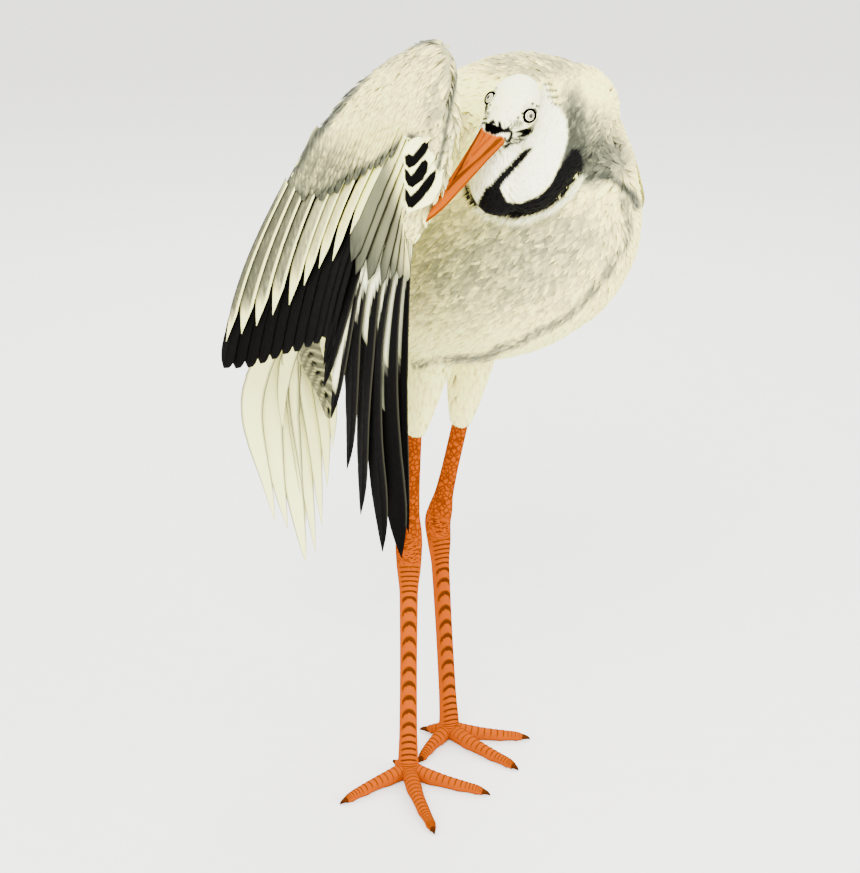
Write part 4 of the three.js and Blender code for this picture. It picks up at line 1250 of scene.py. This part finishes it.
# The bastard wing: three broad feathers, each over the next: their ends in the photograph's pixels, their widths and
# the outline of their black.
ALULA = (
    ((430, 139), (406, 173), 24, [
        (404.6, 156.3), (408.9, 153.7), (412.8, 156), (423.5, 142.2), (430.4, 142.2), (429.6, 146),
        (425.6, 153.7),
        (419.7, 161.1), (414.9, 165.8), (408.9, 168.4), (405.4, 164.1),
    ]),
    ((430, 156), (406, 191), 24, [
        (404.6, 168.4), (408, 171), (411.1, 176.1), (414.9, 171.5), (421.8, 161.5), (425.6, 159.4),
        (428.3, 163.2),
        (427.3, 171.8), (422.7, 180.4), (412.3, 187.7), (408, 185.6), (404.9, 178.7),
    ]),
    ((436, 165), (407, 213), 25, [
        (404.9, 188.2), (407.7, 190.8), (410.6, 196.3), (417.5, 189.9), (428.7, 175.3), (436.4, 168.7),
        (435.2, 178.7),
        (432.1, 186.5), (421.8, 199.4), (412.3, 208.4), (408, 207.2), (404.9, 199.4),
    ]),
)
ALULA_COLUMNS = np.linspace(-1, 1, 33)
ALULA_NEAR = (-234, -172, 660)
LEAF_ROWS = 60


def leaf(pile, root, tip, width, normal):
    """One pointed feather from root to tip, lying square to a normal."""
    u = np.linspace(0, 1, LEAF_ROWS)[:, None]
    along = unit(tip - root)
    side = unit(np.cross(normal, along))
    out = np.cross(along, side)
    centre = root + (tip - root) * u + out * 2.0 * np.sin(math.pi * u)
    shape = mix(0.6, 1, smooth(u, 0, 0.35)) * np.maximum(0.04, 1 - np.clip((u - 0.62) / 0.38, 0, 1) ** 1.2)
    side, out = (np.broadcast_to(v, (1, LEAF_ROWS, 3)) for v in (side, out))
    half = np.repeat(width / 2 * shape, 2, axis=1)[None]
    vanes(pile, centre[None], side, out, half, ALULA_COLUMNS, alula_tint, pile.cells(1), thick=0.5, ridge=0.3,
          camber=0.05)


alula = Pile()
for number, (*ends, width, _) in enumerate(ALULA):
    near = np.array(ALULA_NEAR) - VIEW_AHEAD * (12.0 - 2.5 * number)
    leaf(alula, *(at_pixel(pixel, near) for pixel in ends), width, -VIEW_AHEAD)
alula.piece("alula_feathers", flight_look, "wing_plumage")


# ---- Folded left wing ----

torso_line, torso_size = station_curves(TORSO_STATIONS)


def flank_surface(t, s):
    """A place on the torso's left side: t up round it, s from the wrist back to the rump."""
    along, angle, lift = mix(WRIST_END, RUMP_END, s), mix(FOLDED_LOW, FOLDED_HIGH, t), mix(2.0, 4.0, s)
    size = torso_size(along) + lift[..., None]
    side = np.array((1.0, 0.0, 0.0))
    up = np.cross(tangent(torso_line, along), side)
    up = up * np.where(up[..., 2:] > 0, 1, -1)
    wide, high = np.cos(angle)[..., None] * size[..., :1], np.sin(angle)[..., None] * size[..., 1:]
    return torso_line(along) + wide * side + high * up


folded_primaries = fan([(57, -20, 470), (64, -10, 486), (66, 0, 500)],
                       [(53, 146, 352), (52, 138, 374), (47, 126, 404)], 7.0)
folded = Pile()
row_of_vanes(folded, folded_primaries, np.linspace(0, 1, 7), 22, VANE_COLUMNS, width=22, tilt=-0.2, tint=dark_tint,
             **flight)
row_of_vanes(folded, flank_surface, np.linspace(0, 1, 12), 20, VANE_COLUMNS, first=0.35, last=np.linspace(1, 0.9, 12),
             lift=1.0, width=30, tilt=-0.14, tint=dark_tint, **flight)
row_of_vanes(folded, flank_surface, np.linspace(0, 1, 13), 16, VANE_COLUMNS, first=0.28, last=0.72, lift=3.0,
             width=27, tilt=-0.14, point=0.35, tint=pale_tint, **covert)
FOLDED_TIERS = ((0.26, 0.52), (0.18, 0.42), (0.1, 0.33), (0.03, 0.25), (-0.03, 0.17), (-0.08, 0.1), (-0.12, 0.04))
for tier, (start, end) in enumerate(FOLDED_TIERS):
    row_of_vanes(folded, flank_surface, np.linspace(0, 1, 15 + tier), 9, SCALE_COLUMNS, first=start, last=end,
                 lift=3.6 - 0.7 * tier, end_lift=4.6 - 0.3 * tier, width=25 - tier, tilt=-0.1, point=0.5, sharp=2.4,
                 ragged=0.05, tint=pale_tint, **covert)
folded.piece("wing_left_feathers", flight_look, "wing_plumage", ("wing_left",))


# ---- Tail ----

tail_line = curve(TAIL_LINE)


def tail_surface(t, s):
    out = (2 * t - 1)[..., None]
    s1 = s[..., None]
    spread = mix(18, 48, smooth(s1, 0, 0.7)) * (1 - 0.3 * smooth(s1, 0.7, 1.1))
    reach = s * (1 - 0.2 * out[..., 0] ** 2)
    return (tail_line(np.clip(reach, 0, 1)) - out * spread * (1 - s1) * np.array((1.0, 0, 0))
            - out * spread * s1 * np.array(TAIL_SIDE))


def plume_tint(index, along, across, where):
    """Cream plume with a grey line along each edge and a pale shaft."""
    return toward(PLUME_CREAM, GREY * 0.95, near_edge(across, 0.74, 0.9) * smooth(along, 0.15, 0.35))


def barred_tint(index, along, across, where):
    """Grey, with a dark shaft above, and curved cream bars with a black spot between them below."""
    phase = (along * 11 - 0.8 * np.abs(across)) % 1
    lower = smooth(along, 0.38, 0.46)
    colour = toward(GREY, DARK_GREY, 0.35 * smooth(phase, 0.3, 0.8) * lower)
    colour = toward(colour, PALE, 0.55 * smooth(np.abs(phase - 0.12), 0.17, 0.05) * lower)
    spots = (np.abs(across) < 0.16) * (np.abs(phase - 0.5) < 0.2) * lower
    shaft = (np.abs(across) < 0.07) * (1 - lower)
    return toward(colour, BLACK, np.maximum(spots, shaft) * smooth(along, 0.1, 0.15))


# Each plume's place across the tail, how far it reaches, its width and its lift.
PLUMES = (
    (0, 0.9, 22, 0), (0.12, 0.93, 24, 0.35), (0.26, 0.96, 26, 0.7), (0.4, 0.99, 27, 1.05), (0.47, 0.9, 20, 1.4),
    (0.57, 1.01, 32, 1.75), (0.76, 0.96, 30, 2.1), (0.97, 1.08, 25, 2.45), (0.66, 0.64, 19, -4),
)
TAIL_COVERTS = (
    (1, ((0.2, 0.42), (0.08, 0.32), (-0.04, 0.22), (-0.1, 0.12))),
    (-1, ((0.02, 0.28), (-0.1, 0.16))),
)
tail = Pile()
t, reach, width, lift = np.array(PLUMES).T
row_of_vanes(tail, tail_surface, t, 40, VANE_COLUMNS, first=0.05, last=reach, width=width, ragged=0.0,
             tilt=np.where(t < 0.5, -0.22, 0.22), lift=lift, point=0.55, blunt=0.8, narrow=0.35,
             waves=1.0, tint=plume_tint, thick=0.5, ridge=0.3, camber=0.03, notch=0.06)
row_of_vanes(tail, tail_surface, np.linspace(0.05, 0.95, 4), 18, VANE_COLUMNS, last=np.linspace(0.44, 0.4, 4),
             lift=-3.5, end_lift=-2.5, width=30, tilt=-0.14, point=0.5, sharp=1.6, tint=plume_tint, **covert)
for side_of_tail, tiers in TAIL_COVERTS:
    for tier, (start, end) in enumerate(tiers):
        rise = side_of_tail * (6.5 + 2.0 * tier)
        row_of_vanes(tail, tail_surface, np.linspace(0.02, 0.98, 9), 10, SCALE_COLUMNS, first=start, last=end,
                     lift=rise, end_lift=rise * 0.8, width=24, tilt=0.14, point=0.5, ragged=0.08, **pale_scales)
# One barred feather hangs before the plumes, under the secondaries.
row_of_vanes(tail, tail_surface, [0.1], 60, VANE_COLUMNS, last=0.72, lift=-9, end_lift=-10, width=25, drift=-0.34,
             point=0.4, sharp=2.0, narrow=0.4, tint=barred_tint, ragged=0.0, notch=0.1, thick=0.5, camber=0.06)
tail.piece("tail_feathers", flight_look, "white_plumage", ("tail",))


# ---- Bill ----

# Streaks of the bill in the photograph's pixels, with their half widths: along the mouth, and of deeper orange.
MOUTH_STREAKS = (
    ([(501.5, 138.5), (497, 140), (479, 159), (452, 181)], 0.8),
    ([(501.5, 138.5), (497, 143.5), (474, 163), (447, 190)], 0.8),
)
ORANGE_STREAKS = (
    ([(491.5, 136), (484, 143), (473, 155)], 1.1), ([(479, 130), (469, 142), (461, 154)], 1.0),
    ([(468, 161), (462, 168), (457, 172)], 1.0), ([(497, 142), (477, 161), (450, 185)], 1.6),
)
# What lies above the bill's base line is face, not horn.
BILL_BASE_AREA = [
    (470, 129.5), (476, 129), (480, 127.8), (484, 128.2), (488, 131.5), (491, 134.8), (496, 136),
    (500, 135.3), (503, 136.5),
    (504.2, 139), (507, 150), (530, 150), (530, 100), (470, 100),
]
BILL_SIDES = 64


def bump_at(value, middle, width):
    return np.exp(-(((value - middle) / width) ** 2))


def half_bill(upper):
    """One half of the bill, cut at the mouth."""
    points, t = loft(head_stations(BILL_STATIONS), HEAD_LEFT, 90, BILL_SIDES, grow=-0.15)
    up, left = (points - HEAD_AT) @ HEAD_UP, (points - HEAD_AT) @ HEAD_LEFT
    kept = np.maximum(up, MOUTH_DROP + 0.25) if upper else np.minimum(up, MOUTH_DROP - 0.25)
    points = points + (kept - up)[..., None] * HEAD_UP
    height, width, start, end = (-1.5, 0.9, 0.25, 0.45) if upper else (-12, 0.8, 0.5, 0.7)
    groove = bump_at(up, height, width) * (1 - smooth(t, start, end))[:, None]
    points = points - (groove * 0.5 * unit(left) * np.abs(left) / 10)[..., None] * HEAD_LEFT
    mirrored = seen_at(to_near_side(points, left, -1))
    feathered = inside(mirrored, BILL_BASE_AREA, 0.6)
    mouth = bump_at(up, MOUTH_DROP, 0.7) * (left > 0)
    colour = toward(ORANGE, DEEP_ORANGE, np.maximum(groove * 0.7, 0.85 * strokes(mirrored, ORANGE_STREAKS)))
    colour = toward(colour, BROWN, np.maximum(mouth * 0.8, 0.85 * strokes(mirrored, MOUTH_STREAKS)))
    colour = toward(toward(colour, WHITE, feathered), BLACK, face_marks(mirrored) * feathered)
    vane = round_map(1 - np.abs(np.linspace(-1, 1, BILL_SIDES, endpoint=False)), t)
    pile = Pile()
    pile.add_tube(points, vane, vane, colour)
    return pile


half_bill(True).piece("bill_upper_horn", bill_look, "bill_horn", ("bill_upper",))
half_bill(False).piece("bill_lower_horn", bill_look, "bill_horn", ("bill_lower",))


# ---- Eyes and lids ----

BALL_RINGS, BALL_SIDES = 40, 64
LID_RINGS, LID_SIDES = 72, 16

for side_name, sign in (("right", -1), ("left", 1)):
    axis = EYE_TILT[sign]
    across = unit(HEAD_UP - axis * (axis @ HEAD_UP))
    forward = np.cross(across, axis)
    p, q = np.meshgrid(np.linspace(0.001, math.pi, BALL_RINGS), angles(BALL_SIDES), indexing="ij")
    p, q = p[..., None], q[..., None]
    ball = eye_centre(sign) + EYE_RADIUS * (np.cos(p) * axis + np.sin(p) * (np.cos(q) * across + np.sin(q) * forward))
    vane = np.concatenate([q / (2 * math.pi), p / math.pi], -1)
    pile = Pile()
    pile.add(ball, ring_faces(BALL_RINGS, BALL_SIDES)[:, ::-1], vane, vane)
    pile.piece("eye_" + side_name + "_ball", ball_look, "eye", ("eye_" + side_name,))

    a, b = np.meshgrid(angles(LID_RINGS), angles(LID_SIDES), indexing="ij")
    a, b = a[..., None], b[..., None]
    radial = np.cos(a) * across * 0.95 + np.sin(a) * forward * 1.06
    wrinkle = 1.2 + 0.08 * np.sin(a * 17) * np.cos(b)
    lid = eye_centre(sign) + LID_REACH * axis + radial * (5.3 + wrinkle * np.cos(b))
    lid = lid + wrinkle * np.sin(b) * axis * 1.3
    bake = np.concatenate([a, b], -1) / (2 * math.pi)
    pile = Pile()
    pile.add(lid, ring_faces(LID_RINGS + 1, LID_SIDES) % (LID_RINGS * LID_SIDES), bake, bake, BLACK)
    pile.piece("lids_" + side_name, claw_look, "white_plumage")


# ---- Legs, feet and claws ----

# Where the scutes of each shin face, as an angle round it, and how many there are.
SHIN_ANGLE = {"right": -0.85, "left": -0.6}
SHIN_SCUTES = 27
LEG_RINGS, LEG_SIDES = 640, 48
TOE_SIDES = 28
TOE_JOINTS = (0.3, 0.55, 0.8)
TOE_SCUTE_LENGTH = 4.6
# Places along the toe (0 to 1), its width there as a share, and its height.
TOE_STATIONS = ((0, 1.2, 9.4), (0.2, 1.15, 8), (0.5, 0.96, 6.5), (0.8, 0.78, 5.4), (0.97, 0.66, 4.6),
    (1.04, 0.5, 3.6))
# Places along the claw in mm, how high its middle is, its width as a share of the toe's, and its half height.
CLAW_ROOM = CLAW_LENGTH + 1.5
CLAW_STATIONS = (
    (0, 3.9, 0.5, 3.4), (4.5, 3.9, 0.44, 3.0), (8.5, 3.4, 0.3, 2.2), (11.3, 2.4, 0.16, 1.3),
    (CLAW_ROOM, 1.0, 0.03, 0.3),
)
UP_AXIS = (0, 0, 1.0)


def leg_pile(name, leg):
    top, hock, foot = (np.array(leg[key], float) for key in ("thigh_end", "hock", "foot"))
    ankle = np.array((*foot, FOOT_HEIGHT))
    stations = [
        (*mix(top, hock, -0.12), 7.4, 7.9), (*mix(top, hock, 0.1), 7.4, 7.9), (*mix(top, hock, 0.4), 7.5, 8),
        (*mix(top, hock, 0.7), 8.5, 9.1), (*mix(top, hock, 0.88), 11, 12.2), (*hock, 12.4, 12.8),
        (*mix(hock, ankle, 0.1), 11, 11.8), (*mix(hock, ankle, 0.22), 8.3, 9.1),
        (*mix(hock, ankle, 0.55), 7.8, 8.5),
        (*mix(hock, ankle, 0.86), 8.2, 8.9), (*ankle, 9.6, 10), (*foot, 10, 10.6, 11), (*foot, 2, 8.5, 8.6),
    ]
    hock_t, ankle_t = 5 / 12, 10 / 12

    def scutes(t, angle):
        """How far each place lies down its own scute, whose lower edge arches up, and where the shin has them."""
        aside = (angle - SHIN_ANGLE[name] + math.pi) % (2 * math.pi) - math.pi
        down = (t - hock_t) / (ankle_t + 0.04 - hock_t) * SHIN_SCUTES - 0.75 * aside**2
        reach = smooth(t, hock_t + 0.05, hock_t + 0.08) * (1 - smooth(t, 0.87, 0.9))
        return down % 1.0, (1 - smooth(np.abs(aside), 0.7, 1.0)) * reach

    def swell(t, angle):
        down, shin = scutes(t, angle)
        return shin * 0.75 * (down**0.7 - smooth(down, 0.9, 1.0))

    points, t = loft(stations, (1, 0, 0), LEG_RINGS, LEG_SIDES, swell=swell)
    points[..., 2] = np.maximum(points[..., 2], 0)
    angle = angles(LEG_SIDES)
    down, shin = scutes(t[:, None], angle[None, :])
    vane = round_map(angle / (2 * math.pi), t)
    pile = Pile()
    pile.add_tube(points, vane, vane * (0.45, 1), toward(LEG_ORANGE, LEG_BROWN, shin * smooth(down, 0.6, 0.72)))
    for number, (*reach, width) in enumerate(leg["toes"].values()):
        add_toe(pile, np.array((*foot, 0.0)), np.array((*reach, 0.0)), width, number)
    return pile


def add_toe(pile, start, end, width, number):
    along = end - start
    length = np.linalg.norm(along)
    bend = np.cross(along / length, UP_AXIS)
    stop = 1 - CLAW_LENGTH / length
    rows = []
    for t, w, h in TOE_STATIONS:
        middle = start + along * t * stop + bend * math.sin(math.pi * min(t, 1)) * 2
        rows.append((*middle[:2], h - TOE_FLAT, width * w, h))
    scutes = int(length / TOE_SCUTE_LENGTH)

    def upper_side(angle):
        return smooth(np.cos(angle + math.pi), 0.0, 0.6)

    def swell(t, angle):
        top = upper_side(angle)
        saw = (t * scutes) % 1.0
        pads = sum(0.8 * bump_at(t, joint, 0.05) for joint in TOE_JOINTS) * (1 - top)
        return top * (0.6 * saw**0.7 - 0.6 * smooth(saw, 0.88, 1.0)) + pads - 0.4 * (1 - top)

    points, t = loft(rows, bend, scutes * 9, TOE_SIDES, swell=swell)
    points[..., 2] = np.maximum(points[..., 2], 0.02)
    angle = angles(TOE_SIDES)
    saw = (t[:, None] * scutes) % 1.0
    colour = toward(LEG_ORANGE, LEG_BROWN, upper_side(angle[None, :]) * smooth(saw, 0.72, 0.98))
    colour = toward(colour, LEG_BROWN * 0.6, (1 - smooth(points[..., 2], 0.0, 1.5)) * 0.7)
    vane = round_map(angle / (2 * math.pi), t)
    pile.add_tube(points, vane + (0, 1), vane * (0.12, 0.9) + (0.48 + 0.13 * number, 0.02), colour)


for name, leg in LEGS.items():
    replaced = [part + name for part in ("shank_", "tarsus_", "foot_")]
    leg_pile(name, leg).piece("leg_" + name + "_skin", leg_skin_look, "leg_skin", replaced)
    for toe_name, (*reach, width) in leg["toes"].items():
        end = np.array((*reach, 0.0))
        along = unit(end - np.array((*leg["foot"], 0.0)))
        rows = [(*(end - along * (CLAW_ROOM - d))[:2], z, width * w, h) for d, z, w, h in CLAW_STATIONS]
        points, t = loft(rows, np.cross(along, UP_AXIS), 30, 24)
        points[..., 2] = np.maximum(points[..., 2], 0)
        vane = round_map(np.linspace(0, 1, 24), t)
        pile = Pile()
        pile.add_tube(points, vane, vane, toward(CLAW_BROWN, CLAW_TIP, smooth(vane[..., 1], 0.4, 1)))
        pile.piece(f"claw_{name}_{toe_name}_horn", claw_look, "claw_horn", (f"claw_{name}_{toe_name}",))


# ---- Floor and light ----

SKY_STRENGTH = 2.8


def stage():
    bpy.ops.mesh.primitive_plane_add(size=16, location=(0, 0, 0))
    floor = bpy.context.object
    floor.name = "floor"
    n = Nodes("floor")
    colour = n.blend(n.noise(n.here(), 40.0, 4.0), (0.8, 0.8, 0.79, 1), (0.86, 0.86, 0.85, 1))
    floor.data.materials.append(n.finish(colour, 0.9))
    floor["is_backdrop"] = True
    world = bpy.data.worlds.new("studio")
    world.use_nodes = True
    sky = world.node_tree.nodes["Background"]
    sky.inputs[0].default_value = (1, 0.985, 0.95, 1)
    sky.inputs[1].default_value = SKY_STRENGTH
    bpy.context.scene.world = world
    for name, spot_at, size, power in (
        ("key", (-2.0, -1.1, 2.2), 1.6, 195),
        ("fill", (0.2, -2.4, 1.4), 2.0, 75),
        ("rim", (1.4, 1.3, 2.0), 1.4, 65),
    ):
        light = bpy.data.lights.new(name, "AREA")
        light.shape = "DISK"
        light.size = size
        light.energy = power
        lamp = bpy.data.objects.new(name, light)
        lamp.location = spot_at
        lamp.rotation_euler = (Vector((0, 0, 0.4)) - Vector(spot_at)).to_track_quat("-Z", "Y").to_euler()
        bpy.context.scene.collection.objects.link(lamp)


stage()


def corners(box):
    return [[float(c) for c in corner] for corner in box]


{"cad": corners(cad_bounds), "visual": corners(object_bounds())}
